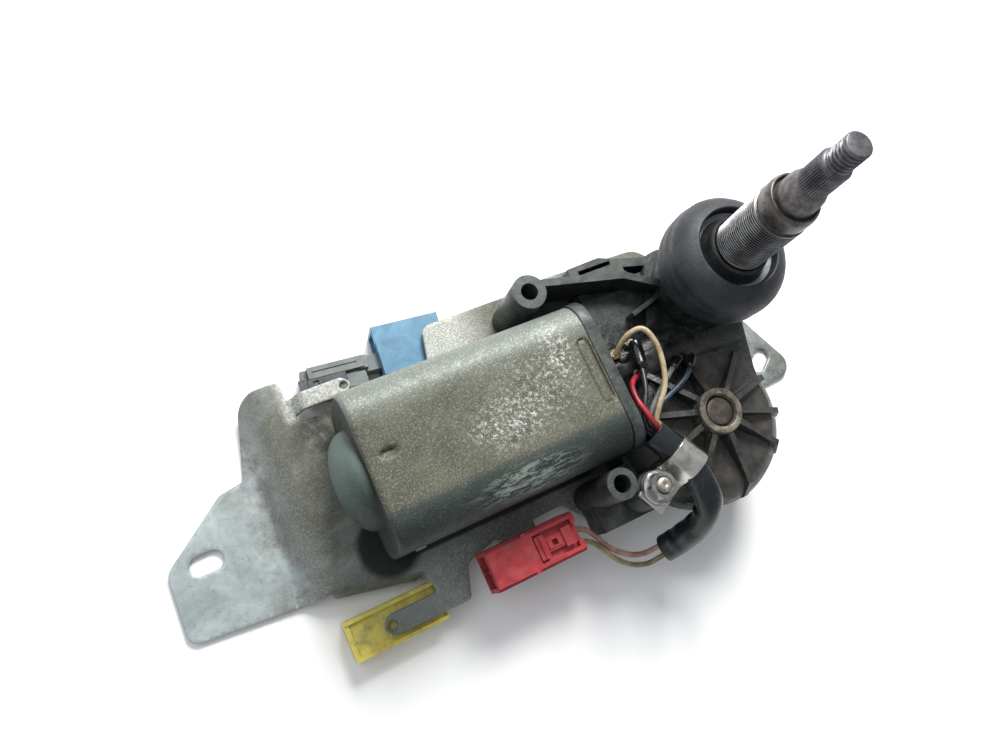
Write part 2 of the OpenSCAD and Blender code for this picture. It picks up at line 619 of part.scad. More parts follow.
centred() mounting_bracket();
centred() motor_can();
centred() field_magnets();
centred() rear_bearing_bush();
centred() brush_plate();
centred() carbon_brushes();
centred() brush_springs();
centred() gear_housing();
centred() housing_cover();
centred() cover_screws();
centred() bracket_screws();
centred() front_bearing_bush();
centred() spindle_sleeve();
centred() spindle_bushes();
centred() spindle_seal();
centred() rubber_grommet();
centred() hub_ring();
centred() wheel_axle();
centred() park_contacts();
centred() motor_terminals();
centred() harness_clip();
centred() clip_stud();
centred() clip_washer();
centred() clip_nut();
centred() harness_sleeve();
centred() beige_wire();
centred() red_wire();
centred() grey_wire();
centred() blue_wire();
centred() black_wire();
centred() pink_wire();
centred() olive_wire();
centred() red_connector();
centred() red_latch();
centred() yellow_connector();
centred() blue_connector();
centred() grey_connector();
centred() grey_latch_bar();
centred() connector_pins();
centred() armature_shaft();
centred() armature_core();
centred() armature_windings();
centred() commutator();
centred() worm();
centred() worm_wheel();
centred() crank_pin();
centred() park_disc();
centred() output_spindle();
centred() spindle_lever();
centred() link_pin();
centred() connecting_link();
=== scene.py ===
"""Looks of a used rear wiper motor: pressed bracket, motor can, gearbox, spindle, harness and plugs.

Shapes are laid out in millimetres from the spindle axis, with z = 0 under the bracket ears, and
at() turns such a place into the frame's metres. Every piece rides on the CAD body it belongs to.
"""
import random
from math import acos, atan2, cos, dist, exp, hypot, pi, radians, sin, sqrt, tan

import bmesh
import bpy
from mathutils import Matrix, Vector
from mathutils.geometry import delaunay_2d_cdt


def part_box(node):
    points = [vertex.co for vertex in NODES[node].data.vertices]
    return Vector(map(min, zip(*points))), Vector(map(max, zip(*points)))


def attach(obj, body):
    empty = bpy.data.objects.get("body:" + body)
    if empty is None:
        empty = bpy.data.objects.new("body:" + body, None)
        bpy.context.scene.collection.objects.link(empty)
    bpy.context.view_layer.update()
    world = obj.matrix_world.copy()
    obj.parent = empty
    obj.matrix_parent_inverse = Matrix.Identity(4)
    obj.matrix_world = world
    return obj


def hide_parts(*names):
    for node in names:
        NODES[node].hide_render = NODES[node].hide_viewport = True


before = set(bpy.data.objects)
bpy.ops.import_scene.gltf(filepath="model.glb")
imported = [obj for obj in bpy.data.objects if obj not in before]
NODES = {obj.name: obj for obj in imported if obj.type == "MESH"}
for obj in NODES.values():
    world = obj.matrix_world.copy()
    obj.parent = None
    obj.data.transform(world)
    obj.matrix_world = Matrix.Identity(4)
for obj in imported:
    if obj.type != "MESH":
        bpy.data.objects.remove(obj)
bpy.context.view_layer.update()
BASE = "motor_base"

MM = 0.001
NUT_AT = (-49.1, -59.1)
WHEEL_AT = (-17.5, -45)
CLIP_AT = (-37.5, -54.3, 43)
WIRE_R = 0.95

spindle_lo, spindle_hi = (Vector(c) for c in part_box("output_spindle"))
AXIS = (spindle_lo + spindle_hi) / 2


def at(x, y, z):
    """A place in millimetres from the spindle axis, as metres in the frame."""
    return Vector((AXIS.x + x * MM, AXIS.y + y * MM, z * MM))


def linked(name, data):
    """A new object in the scene that shows the data."""
    obj = bpy.data.objects.new(name, data)
    bpy.context.collection.objects.link(obj)
    return obj


# ---- camera and light
def make_camera():
    data = bpy.data.cameras.new("camera")
    data.sensor_width = 36
    data.lens = 28.25
    data.clip_start = 0.01
    cam = linked("camera", data)
    cam.location = at(-167.3, -48.2, 276.8)
    aim = at(-79.0, -3.1, 30) - cam.location
    roll = Matrix.Rotation(radians(39.6), 4, "Z")
    cam.matrix_world = (Matrix.Translation(cam.location)
                        @ aim.to_track_quat("-Z", "Y").to_matrix().to_4x4() @ roll)
    bpy.context.scene.camera = cam


def area_light(name, place, target, size, power, colour):
    data = bpy.data.lights.new(name, "AREA")
    data.shape = "SQUARE"
    data.size = size
    data.energy = power
    data.color = colour
    lamp = linked(name, data)
    lamp.location = place
    lamp.rotation_euler = (target - place).to_track_quat("-Z", "Y").to_euler()


def make_studio():
    world = bpy.data.worlds.new("studio")
    world.use_nodes = True
    back = world.node_tree.nodes["Background"]
    back.inputs["Color"].default_value = (0.93, 0.96, 1.0, 1)
    back.inputs["Strength"].default_value = 0.42
    bpy.context.scene.world = world
    middle = at(-70, -20, 20)
    area_light("key", at(170, 460, 560), middle, 0.32, 9.5, (1.0, 0.99, 0.97))
    area_light("fill", at(-480, 260, 620), middle, 0.6, 1.6, (0.95, 0.98, 1.0))
    bpy.context.scene.view_settings.view_transform = "Standard"


make_camera()
make_studio()


# ---- mesh helpers
def as_object(name, bm):
    """Turns a bmesh into an object in the scene."""
    mesh = bpy.data.meshes.new(name)
    bm.to_mesh(mesh)
    bm.free()
    return linked(name, mesh)


def to_frame(bm):
    for v in bm.verts:
        v.co = at(*v.co)


def turn_and_move(bm, origin, deg):
    bm.transform(Matrix.Translation(Vector(origin)) @ Matrix.Rotation(radians(deg), 4, "Z"))


def smooth(mesh, sharp_deg):
    mesh.shade_smooth()
    mesh.set_sharp_from_angle(angle=radians(sharp_deg))


def finish_mesh(name, bm, material, sharp_deg=35, replaced=(), body=BASE):
    """Turns a bmesh laid out in millimetres into a piece that rides on a body."""
    to_frame(bm)
    bmesh.ops.recalc_face_normals(bm, faces=bm.faces)
    piece = as_object(name, bm)
    piece.data.materials.append(MAT[material])
    smooth(piece.data, sharp_deg)
    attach(piece, body)
    if replaced:
        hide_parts(*replaced)
    return piece


def add_ring(bm, points):
    return [bm.verts.new(p) for p in points]


def bridge(bm, a, b):
    n = len(a)
    for i in range(n):
        j = (i + 1) % n
        bm.faces.new((a[i], a[j], b[j], b[i]))


def skin(bm, rings):
    for a, b in zip(rings, rings[1:]):
        bridge(bm, a, b)


def cap_ends(bm, rings):
    bm.faces.new(rings[0])
    bm.faces.new(rings[-1])


def round_about(n):
    """n angles that share out a full turn."""
    return [2 * pi * k / n for k in range(n)]


def lathe(bm, profile, centre, segments, radius_at):
    """Turns (r, z) points round an upright axis. radius_at(r, z, angle) may shape the surface."""
    rings = []
    for r, z in profile:
        ring = []
        for a in round_about(segments):
            rr = radius_at(r, z, a) if radius_at else r
            ring.append((centre[0] + rr * cos(a), centre[1] + rr * sin(a), z))
        rings.append(add_ring(bm, ring))
    skin(bm, rings)
    return rings


def polar(r, deg):
    return r * cos(radians(deg)), r * sin(radians(deg))


def arc(cx, cy, r, a0, a1, n):
    turns = [polar(r, a0 + (a1 - a0) * k / n) for k in range(n + 1)]
    return [(cx + x, cy + y) for x, y in turns]


def smooth_step(a, b, x):
    t = min(1, max(0, (x - a) / (b - a)))
    return t * t * (3 - 2 * t)


def box_mesh(bm, x0, x1, y0, y1, z0, z1):
    for v in bmesh.ops.create_cube(bm, size=1)["verts"]:
        v.co = Vector((x0 + (v.co.x + 0.5) * (x1 - x0), y0 + (v.co.y + 0.5) * (y1 - y0),
                       z0 + (v.co.z + 0.5) * (z1 - z0)))


def boxes_object(boxes):
    bm = bmesh.new()
    for box in boxes:
        box_mesh(bm, *box)
    bmesh.ops.recalc_face_normals(bm, faces=bm.faces)
    return as_object("boxes", bm)


def boolean(obj, operation, other, use_self=False):
    mod = obj.modifiers.new("boolean", "BOOLEAN")
    mod.operation = operation
    mod.solver = "EXACT"
    mod.use_self = use_self
    mod.object = other


def applied_mesh(obj):
    deps = bpy.context.evaluated_depsgraph_get()
    return bpy.data.meshes.new_from_object(obj.evaluated_get(deps))


def carve(add, cut=(), origin=(0, 0, 0), deg=0):
    """Unions boxes, cuts others away and turns the result about its origin. Boxes are
    (x0, x1, y0, y1, z0, z1) in millimetres."""
    work = boxes_object(add)
    spent = [work]
    if len(add) > 1:
        # a union with nothing joins the boxes that overlap
        spent.append(as_object("nothing", bmesh.new()))
        boolean(work, "UNION", spent[-1], True)
    if cut:
        spent.append(boxes_object(cut))
        boolean(work, "DIFFERENCE", spent[-1], True)
    mesh = applied_mesh(work)
    bm = bmesh.new()
    bm.from_mesh(mesh)
    bpy.data.meshes.remove(mesh)
    for obj in spent:
        bpy.data.objects.remove(obj)
    bmesh.ops.remove_doubles(bm, verts=bm.verts, dist=1e-4)
    bmesh.ops.dissolve_limit(bm, angle_limit=radians(1), verts=bm.verts, edges=bm.edges)
    turn_and_move(bm, origin, deg)
    return bm


def soften(piece, width, segments=2, angle=32):
    """Rounds a piece's edges, as moulding, casting or blanking leaves them."""
    mod = piece.modifiers.new("edges", "BEVEL")
    mod.width = width * MM
    mod.segments = segments
    mod.limit_method = "ANGLE"
    mod.angle_limit = radians(angle)
    mod.use_clamp_overlap = True
    mod.harden_normals = True
    return piece


def turned_ring(name, profile, centre, material, replaced=(), segments=72, radius_at=None, sharp_deg=35):
    bm = bmesh.new()
    rings = lathe(bm, profile, centre, segments, radius_at)
    bridge(bm, rings[-1], rings[0])
    finish_mesh(name, bm, material, sharp_deg, replaced)


def turned_rod(name, profile, material, sharp_deg, replaced, centre=(0, 0), segments=48, radius_at=None,
               body=BASE):
    bm = bmesh.new()
    cap_ends(bm, lathe(bm, profile, centre, segments, radius_at))
    finish_mesh(name, bm, material, sharp_deg, replaced, body)


# ---- routes of the leads
def spline_point(p, i, t):
    a, b, c, d = (Vector(p[max(i - 1, 0)]), Vector(p[i]), Vector(p[i + 1]),
                  Vector(p[min(i + 2, len(p) - 1)]))
    return 0.5 * (2 * b + (c - a) * t + (2 * a - 5 * b + 4 * c - d) * t ** 2
                  + (3 * b - a - 3 * c + d) * t ** 3)


def eased(p, n):
    return [spline_point(p, i, k / n) for i in range(len(p) - 1) for k in range(n)] + [Vector(p[-1])]


def path_frames(q):
    """Each path point with two directions across it, carried along without twist."""
    frames = []
    across = None
    for i, c in enumerate(q):
        t = (q[min(i + 1, len(q) - 1)] - q[max(i - 1, 0)]).normalized()
        if across is None:
            across = Vector((1, 0, 0)) if abs(t.z) > 0.9 else Vector((0, 0, 1))
        across = (across - t * across.dot(t)).normalized()
        frames.append((c, across, t.cross(across)))
    return frames


HARNESS = [(-43.9, -42.3, 43.5), (-37.5, -54.3, 43), (-35.6, -61.5, 42.8), (-34.9, -68.5, 40.8),
           (-35.3, -73.2, 36), (-37.6, -76.8, 28.5), (-41.4, -79.2, 21), (-45.6, -80, 16)]
ROUTES = {
    "beige_wire": [(-42, -13, 41), (-38, -9.5, 46.5), (-33, -10, 49.5), (-31.5, -18, 50), (-34.3, -28.8, 49),
                   (-39.6, -35.6, 47.3), (-41.9, -38.9, 46), (-41.2, -41, 45.3), (-39.4, -45.6, 44.4)],
    "red_wire": [(-37, -22, 39.8), (-42.6, -25, 43.2), (-45, -30.5, 46), (-44.4, -36.5, 47.2),
                 (-43.7, -39.6, 46.9), (-42.8, -41.8, 46.4), (-41.4, -46, 45)],
    "grey_wire": [(-19, -22.5, 39.4), (-27, -26, 42.5), (-35, -31, 43.8), (-41.2, -36.2, 43.2),
                  (-42.6, -38.9, 42.6), (-41.6, -41, 42.3), (-39.6, -45.5, 42.4)],
    "blue_wire": [(-14, -23, 39), (-22, -29.5, 42.5), (-32, -33.5, 41.6), (-41.5, -37, 41),
                  (-44.3, -39.8, 41), (-43.6, -42, 40.9), (-41.4, -46.2, 41.4)],
    "black_wire": [(-34, -11, 40.8), (-35.5, -18, 42.5), (-39.5, -28, 44.6), (-44.3, -35.5, 44.8),
                   (-45.2, -40, 44.3), (-43.9, -42.3, 44), (-41.6, -46.8, 43.6)],
    "pink_wire": [(-75, -60, 20), (-70, -63.2, 19.5), (-64.5, -71.3, 16.5), (-58, -76.5, 13.6),
                  (-52.5, -78.6, 12.4), (-48.3, -78.8, 13.7), (-46.2, -78.3, 16.2), (-43.4, -78.2, 19.6)],
    "olive_wire": [(-75, -64.5, 20), (-70, -67.5, 19), (-64, -75.3, 15.5), (-58, -80.2, 11.9),
                   (-52, -82.6, 11), (-47.2, -82.4, 12.6), (-44.7, -81.7, 15.5), (-42.2, -80.8, 18.4)],
}

# ---- materials
def rgb(r, g, b):
    """A colour seen as 0-255 values, as linear light."""
    return tuple(((c / 255 + 0.055) / 1.055) ** 2.4 if c > 10 else c / 255 / 12.92
                 for c in (r, g, b)) + (1,)


class Paint:
    """Builds one procedural material from patterns laid out in the object's own space."""

    def __init__(self, name):
        self.mat = bpy.data.materials.new(name)
        self.mat.use_nodes = True
        self.nodes = self.mat.node_tree.nodes
        self.links = self.mat.node_tree.links
        self.bsdf = self.nodes["Principled BSDF"]
        self.pos = self.node("TexCoord", {}).outputs["Object"]
        self.height = None
        self.tone = None
        self.dull = None

    def put(self, socket, value):
        if hasattr(value, "is_linked"):
            self.links.new(value, socket)
        else:
            socket.default_value = value

    def node(self, kind, inputs, **settings):
        """A new node whose inputs are numbers, colours or other nodes' outputs."""
        node = self.nodes.new("ShaderNode" + kind)
        for key, value in settings.items():
            setattr(node, key, value)
        for key, value in inputs.items():
            self.put(node.inputs[key], value)
        return node

    def noise(self, scale, detail=4, rough=0.6, stretch=(1, 1, 1), shift=(0, 0, 0), warp=0):
        place = self.node("Mapping", {"Vector": self.pos, "Scale": stretch, "Location": shift})
        return self.node("TexNoise", {"Vector": place.outputs[0], "Scale": scale, "Detail": detail,
                                      "Roughness": rough, "Distortion": warp}).outputs["Fac"]

    def fit(self, value, lo, hi, out_lo=0.0, out_hi=1.0):
        return self.node("MapRange", {"Value": value, "From Min": lo, "From Max": hi, "To Min": out_lo,
                                      "To Max": out_hi}, interpolation_type="SMOOTHSTEP").outputs["Result"]

    def spots(self, scale, detail, rough, lo, hi, out_lo=0.0, out_hi=1.0, **layout):
        """Noise that rises from out_lo to out_hi between its levels lo and hi."""
        return self.fit(self.noise(scale, detail, rough, **layout), lo, hi, out_lo, out_hi)

    def calc(self, op, a, b):
        return self.node("Math", {0: a, 1: b}, operation=op).outputs[0]

    def times(self, first, *others):
        for other in others:
            first = self.calc("MULTIPLY", first, other)
        return first

    def plus(self, a, b):
        return self.calc("ADD", a, b)

    def rest(self, mask):
        return self.calc("SUBTRACT", 1.0, mask)

    def mix(self, fac, a, b):
        """Two colours mixed. Blender keeps their sockets at 6 and 7, and the result at 2."""
        return self.node("Mix", {0: fac, 6: a, 7: b}, data_type="RGBA").outputs[2]

    def blend(self, fac, dark, light):
        """Between two colours given as 0-255 values."""
        return self.mix(fac, rgb(*dark), rgb(*light))

    def lay(self, mask, share, colour):
        """Covers the tone by that share with a colour, where the mask is white."""
        if isinstance(colour, tuple):
            colour = rgb(*colour)
        self.tone = self.mix(self.times(mask, share), self.tone, colour)

    def axis(self, index, lo, hi):
        """A mask that rises as x, y or z (in mm from the spindle axis) goes from lo to hi."""
        place = self.node("SeparateXYZ", {0: self.pos}).outputs[index]
        base = (AXIS.x, AXIS.y, 0)[index]
        if lo <= hi:
            return self.fit(place, base + lo * MM, base + hi * MM)
        return self.fit(place, base + hi * MM, base + lo * MM, 1.0, 0.0)

    def upward(self, lo, hi):
        """A mask of the faces that look up, where dust settles."""
        normal = self.node("TexCoord", {}).outputs["Normal"]
        return self.fit(self.node("SeparateXYZ", {0: normal}).outputs[2], lo, hi)

    def near(self, place, reach, scale, soft):
        """A mask round a place, in mm from the spindle axis, fading out at its reach."""
        away = self.node("VectorMath", {0: self.pos, 1: at(*place)}, operation="SUBTRACT").outputs[0]
        size = self.node("VectorMath", {0: away, 1: scale}, operation="MULTIPLY").outputs[0]
        far = self.node("VectorMath", {0: size}, operation="LENGTH").outputs["Value"]
        return self.fit(far, reach * soft * MM, reach * MM, 1.0, 0.0)

    def set(self, colour, rough=None, metal=None):
        values = {"Base Color": colour, "Roughness": rough, "Metallic": metal}
        for key, value in values.items():
            if value is not None:
                self.put(self.bsdf.inputs[key], value)
        return self

    def bump(self, height, depth_mm, strength=1.0):
        node = self.node("Bump", {"Strength": strength, "Distance": depth_mm * MM, "Height": height})
        if self.height is not None:
            self.links.new(self.height, node.inputs["Normal"])
        self.height = node.outputs["Normal"]
        self.links.new(self.height, self.bsdf.inputs["Normal"])
        return self


def metal_paint(name, base, dark, rough=(0.3, 0.5), metal=0.85, grime=None, grime_at=(0.5, 0.62),
                patch=90, bump=0.02, brushed=None, speck=None):
    """Worn bare metal: tone drifting in patches, fine grain, scratches and settled grime."""
    p = Paint(name)
    drift = p.spots(patch, 6, 0.65, 0.36, 0.64, warp=0.6)
    p.tone = p.blend(drift, dark, base)
    fine = p.noise(1500, 3, 0.7)
    p.tone = p.mix(p.fit(fine, 0.62, 0.8, 0, 0.35), p.tone, rgb(*[min(255, c + 40) for c in base]))
    p.dull = p.spots(420, 5, 0.7, 0.3, 0.7, *rough)
    shine = metal
    if brushed:
        lines = p.noise(60, 6, 0.75, stretch=brushed)
        p.tone = p.mix(p.fit(lines, 0.35, 0.7, 0, 0.45), p.tone, rgb(*dark))
        p.bump(lines, 0.015)
    if speck:
        p.lay(p.spots(700, 6, 0.8, 0.57, 0.66, shift=(3, 1, 2)), 0.7, speck)
    if grime:
        dirt = p.times(p.spots(patch * 1.7, 8, 0.72, *grime_at, shift=(1, 5, 2), warp=0.8),
                       p.spots(900, 3, 0.6, 0.3, 0.55, 0.55, 1.0))
        p.tone = p.mix(dirt, p.tone, rgb(*grime))
        p.dull = p.plus(p.dull, p.times(dirt, 0.3))
        shine = p.times(p.rest(p.times(dirt, 0.8)), metal)
    p.set(p.tone, p.dull, shine)
    p.bump(fine, bump)
    return p


def plastic_paint(name, base, dark, rough=(0.35, 0.55), dust=None, dust_at=(0.5, 0.66), bump=0.03,
                  patch=130, through=0.0, scuff=None):
    """Moulded plastic or rubber: faint mottling, fine texture, scuffs and dust in patches."""
    p = Paint(name)
    p.tone = p.blend(p.spots(patch, 5, 0.6, 0.35, 0.68, warp=0.4), dark, base)
    p.dull = p.spots(300, 5, 0.7, 0.3, 0.7, *rough)
    if scuff:
        marks = p.spots(240, 8, 0.8, 0.6, 0.68, stretch=(1, 4, 2), warp=1.2)
        p.lay(marks, 0.6, scuff)
    if dust:
        film = p.times(p.spots(patch * 1.3, 8, 0.75, *dust_at, shift=(2, 3, 1)), 0.8)
        p.tone = p.mix(film, p.tone, rgb(*dust))
        p.dull = p.plus(p.dull, p.times(film, 0.25))
    p.set(p.tone, p.dull, 0.0)
    if through:
        p.put(p.bsdf.inputs["Subsurface Weight"], through)
        p.put(p.bsdf.inputs["Subsurface Scale"], 0.004)
    p.bump(p.noise(1900, 4, 0.65), bump)
    return p


MAT = {}


def bracket_paint():
    """Cool zinc at the ears and folds, brown grit on the raised platform, and painted shadows of the can on
    it.
    """
    p = metal_paint("zinc_sheet", (172, 182, 182), (146, 156, 157), (0.34, 0.52), 0.55, patch=40,
                    speck=(122, 120, 112))
    grit = p.noise(1600, 4, 0.8)
    raised = p.axis(2, 4, 10.2)
    clouds = p.spots(26, 8, 0.68, 0.34, 0.58, 0.5, 1.0, warp=0.7)
    dusty = p.times(raised, clouds, p.fit(grit, 0.3, 0.5, 0.6, 1.0))
    film = p.spots(70, 8, 0.75, 0.46, 0.66, shift=(4, 0, 1))
    p.lay(film, 0.4, (138, 136, 126))
    p.lay(dusty, 0.95, p.blend(p.fit(grit, 0.44, 0.6), (61, 61, 50), (110, 110, 94)))
    bend = p.times(p.axis(0, -152, -160), raised)
    strip_edge = p.times(p.axis(1, -45, -49), p.axis(0, -128, -118))
    flange = p.times(p.axis(1, 9, 13), p.times(p.axis(0, -66, -84), p.axis(0, -150, -146)))
    grain = p.fit(grit, 0.42, 0.62)
    for mask, share, dark, light in ((bend, 0.45, (110, 116, 110), (172, 176, 170)),
                                     (strip_edge, 0.6, (108, 114, 108), (168, 172, 166)),
                                     (flange, 0.85, (140, 142, 134), (204, 206, 200))):
        p.lay(mask, share, p.blend(grain, dark, light))
    rim = p.times(p.rest(raised), p.axis(0, -178, -164), p.spots(85, 9, 0.75, 0.36, 0.6))
    p.lay(rim, 0.75, p.blend(p.fit(grit, 0.4, 0.6), (84, 78, 70), (138, 132, 124)))
    # painted shadows of the can on the platform: beside its far end, black at its near left corner, and a
    # strip along its near bottom edge
    painted_shadow_far = p.times(p.near((-140, 4, 11), 14, (0.9, 1, 0.5), 0.2), p.spots(170, 8, 0.75, 0.36, 0.58))
    painted_shadow_corner = p.times(p.near((-133, -39, 11), 11.5, (0.95, 0.9, 0.5), 0.72),
                     p.spots(90, 6, 0.7, 0.24, 0.4))
    painted_shadow_under_can = p.times(p.axis(1, -46.6, -45.4), p.axis(0, -136, -130), p.axis(2, 9, 10),
                        p.axis(0, -52, -58), p.axis(1, -38, -40))
    p.lay(painted_shadow_far, 0.8, (34, 34, 31))
    p.lay(painted_shadow_corner, 0.96, (12, 13, 12))
    p.lay(painted_shadow_under_can, 0.9, (18, 19, 18))
    p.set(p.tone, p.plus(p.dull, p.times(dusty, 0.22)), p.times(p.rest(p.times(dusty, 0.6)), 0.6))
    return p.bump(grit, 0.05, 0.6)


def can_paint():
    """Coarse speckled olive plating, flecked white where it was rubbed, with a painted highlight along its
    far shoulder and painted shade on its near side, end wall, dome and lower part.
    """
    p = metal_paint("can_plating", (90, 91, 77), (68, 69, 57), (0.5, 0.66), 0.25, patch=46, bump=0.03)
    grit = p.noise(1700, 4, 0.8, shift=(7, 2, 2))
    light_grit = p.fit(grit, 0.53, 0.62)
    p.lay(light_grit, 0.5, (152, 148, 132))
    p.lay(p.fit(grit, 0.39, 0.47, 1, 0), 0.55, (48, 46, 38))
    drift = p.noise(60, 6, 0.7, shift=(5, 5, 5))
    # painted highlight: the far shoulder paler, as if lit from the far side
    painted_highlight_band = p.times(p.axis(1, -7, 2), p.fit(drift, 0.3, 0.6, 0.75, 1))
    p.lay(painted_highlight_band, 0.75, p.blend(light_grit, (122, 130, 124), (172, 176, 168)))
    # painted shade: the near side dark, as if turned away from the light
    side = p.plus(p.axis(1, -30.5, -34.5), p.fit(drift, 0.3, 0.7, -0.15, 0.15))
    p.lay(side, 0.95, p.blend(light_grit, (35, 44, 42), (64, 75, 70)))
    flecks = p.spots(700, 8, 0.95, 0.51, 0.62, shift=(2, 9, 4))
    for place, reach, scale, much in (((-64.5, -7, 49), 13, (1.5, 0.75, 1), 1.0),
                                      ((-90, -21, 49), 14, (0.75, 1.25, 1), 1.0),
                                      ((-76, -16, 49), 17, (0.7, 0.9, 1), 0.5)):
        worn = p.times(p.near(place, reach, scale, 0.05), 1.5, flecks)
        p.lay(worn, much, (222, 225, 220))
    streaks = p.spots(130, 8, 0.8, 0.47, 0.56, stretch=(1.2, 6, 6), warp=0.5, shift=(6, 0, 2))
    p.lay(p.times(p.near((-90, -39.5, 46), 20, (0.8, 3.2, 1.6), 0.3), streaks), 0.85, (150, 160, 152))
    # painted shade: the can's end wall, beyond x = -135, nearly black
    p.lay(p.axis(0, -134.7, -135.0), 0.92, (28, 33, 31))
    # painted shade on the domed end: darker towards its near side, paler towards its far side
    dome = p.times(p.near((-138, -18, 30), 17.3, (0.5, 1, 1), 0.93), p.axis(0, -135.2, -136))
    dome_painted_shade = p.blend(p.plus(p.axis(1, -33, -10), p.fit(grit, 0.3, 0.7, -0.2, 0.2)),
                        (48, 57, 54), (92, 108, 101))
    p.tone = p.mix(dome, p.tone, dome_painted_shade)
    # painted shade: the can darker towards its bottom
    p.lay(p.axis(2, 32, 24), 0.75, (60, 62, 58))
    p.set(p.tone)
    return p.bump(grit, 0.07, 0.7)


def case_paint():
    """Charcoal casting, brown dust on its disc, black grease and painted shade round the tower and the leads.
    """
    p = metal_paint("case_cast", (62, 67, 65), (38, 42, 41), (0.34, 0.56), 0.25, patch=110, bump=0.07,
                    speck=(34, 36, 36))
    dust = p.times(p.spots(130, 9, 0.75, 0.36, 0.62, warp=0.7), p.upward(0.1, 0.8))
    disc = p.near((-17.5, -48, 34), 36, (1, 1, 1), 0.7)
    p.lay(p.times(dust, disc), 0.75, (88, 81, 76))
    p.lay(p.times(dust, p.rest(disc)), 0.35, (96, 101, 96))
    # black grease and painted shade: dark and glossy round the tower and the leads
    grease = p.calc("MAXIMUM", p.near((0, -6, 34), 27, (1, 1, 0.8), 0.5),
                    p.near((-34, -20, 30), 24, (0.8, 1, 0.7), 0.5))
    grease = p.times(grease, p.spots(95, 7, 0.7, 0.34, 0.56, shift=(2, 2, 2), warp=1.0))
    p.lay(grease, 0.95, (20, 21, 21))
    rubbed = p.times(p.near((*WHEEL_AT, 44), 14, (1, 1, 1), 0.5), p.spots(260, 7, 0.7, 0.5, 0.62))
    p.lay(rubbed, 0.4, (150, 144, 132))
    p.set(p.tone, p.calc("SUBTRACT", p.dull, p.times(grease, 0.2)))
    return p.bump(p.noise(340, 7, 0.7, warp=0.5), 0.18, 0.8)


def sleeve_paint():
    """Turned steel, nearly black in its thread grooves, darker plain collar with brown stains."""
    p = metal_paint("sleeve_steel", (142, 142, 141), (104, 105, 106), (0.3, 0.46), 0.88, (74, 68, 60),
                    (0.6, 0.76), 170, brushed=(1, 1, 9))
    plain = p.axis(2, 94.2, 95.6)
    p.lay(plain, 0.8, (84, 79, 76))
    stain = p.times(plain, p.spots(330, 7, 0.75, 0.5, 0.62, shift=(3, 3, 3), warp=0.8))
    p.lay(stain, 0.8, (62, 50, 42))
    # the thread roots painted nearly black
    groove = p.times(p.near((0, 0, 80), 8.95, (1, 1, 0), 0.958), p.axis(2, 95.2, 94.6))
    p.lay(groove, 0.95, (26, 27, 28))
    return p.set(p.tone)


def spindle_paint():
    """Grey steel, stained brown on the neck above the sleeve."""
    p = metal_paint("spindle_steel", (118, 118, 122), (84, 84, 89), (0.42, 0.56), 0.7, (58, 53, 50),
                    (0.58, 0.72), 220)
    rust = p.times(p.axis(2, 98, 101), p.axis(2, 111.5, 109.5),
                   p.spots(420, 8, 0.75, 0.24, 0.46, 0.45, 0.9, warp=0.8))
    neck = p.blend(p.spots(500, 6, 0.7, 0.4, 0.62), (92, 86, 84), (126, 122, 122))
    p.tone = p.mix(rust, p.tone, neck)
    return p.set(p.tone, p.plus(p.dull, p.times(rust, 0.16)), p.times(p.rest(p.times(rust, 0.5)), 0.9))


def boot_paint():
    p = plastic_paint("grommet_rubber", (42, 46, 52), (27, 30, 34), (0.46, 0.62), (72, 76, 82), (0.6, 0.78),
                      0.06, 150, scuff=(92, 98, 106))
    return p.bump(p.noise(900, 4, 0.75), 0.14, 0.8)


for name, make in (("bracket_zinc", bracket_paint), ("can_steel", can_paint), ("cover_cast", case_paint),
                   ("sleeve_steel", sleeve_paint), ("dark_steel", spindle_paint),
                   ("grommet_rubber", boot_paint)):
    MAT[name] = make().mat

# name: worn tone, dark tone, roughness, metal, grime, where grime starts and ends, patch scale, bump
METALS = {
    "hub_steel": ((166, 160, 146), (112, 106, 94), (0.35, 0.55), 0.75, (86, 76, 64), (0.46, 0.6), 260),
    "axle_steel": ((112, 104, 98), (82, 76, 72), (0.45, 0.62), 0.55, (58, 50, 46), (0.5, 0.66), 240),
    "bright_steel": ((178, 179, 176), (132, 133, 131), (0.3, 0.42), 0.92, (84, 74, 60), (0.58, 0.7), 240),
    "clip_steel": ((222, 220, 212), (178, 175, 166), (0.26, 0.36), 0.97, (104, 92, 74), (0.56, 0.7), 150,
                   0.01),
    "link_steel": ((150, 151, 152), (108, 109, 110), (0.3, 0.5), 0.85, (52, 46, 38), (0.5, 0.68), 180),
    "stud_steel": ((178, 174, 162), (136, 130, 116), (0.35, 0.5), 0.75, (92, 78, 60), (0.5, 0.66), 300),
    "bronze": ((176, 148, 94), (128, 104, 62), (0.35, 0.55), 0.85, (60, 48, 32)),
    "spring_steel": ((190, 192, 194), (140, 142, 144), (0.25, 0.4), 0.95),
    "contact_brass": ((200, 168, 100), (150, 122, 66), (0.25, 0.45), 0.95, (58, 48, 36)),
    "terminal_metal": ((178, 166, 138), (126, 112, 88), (0.3, 0.5), 0.85, (70, 58, 44), (0.48, 0.62), 350),
    "solder": ((198, 188, 160), (146, 130, 98), (0.25, 0.5), 0.5, (70, 54, 36), (0.46, 0.6), 420, 0.08),
    "worm_steel": ((164, 166, 168), (116, 118, 120), (0.2, 0.35), 0.95, (60, 50, 36)),
}
for name, values in METALS.items():
    MAT[name] = metal_paint(name, *values).mat
MAT["core_steel"] = metal_paint("core_steel", (128, 126, 122), (88, 86, 82), (0.4, 0.6), 0.8,
                                (92, 60, 38), brushed=(18, 1, 1)).mat
MAT["copper_wire"] = metal_paint("copper_wire", (196, 112, 66), (148, 74, 38), (0.25, 0.42), 0.9,
                                 brushed=(1, 14, 14)).mat
MAT["commutator_copper"] = metal_paint("commutator_copper", (200, 128, 82), (150, 88, 52), (0.25, 0.4), 0.95,
                                       brushed=(1, 20, 20)).mat

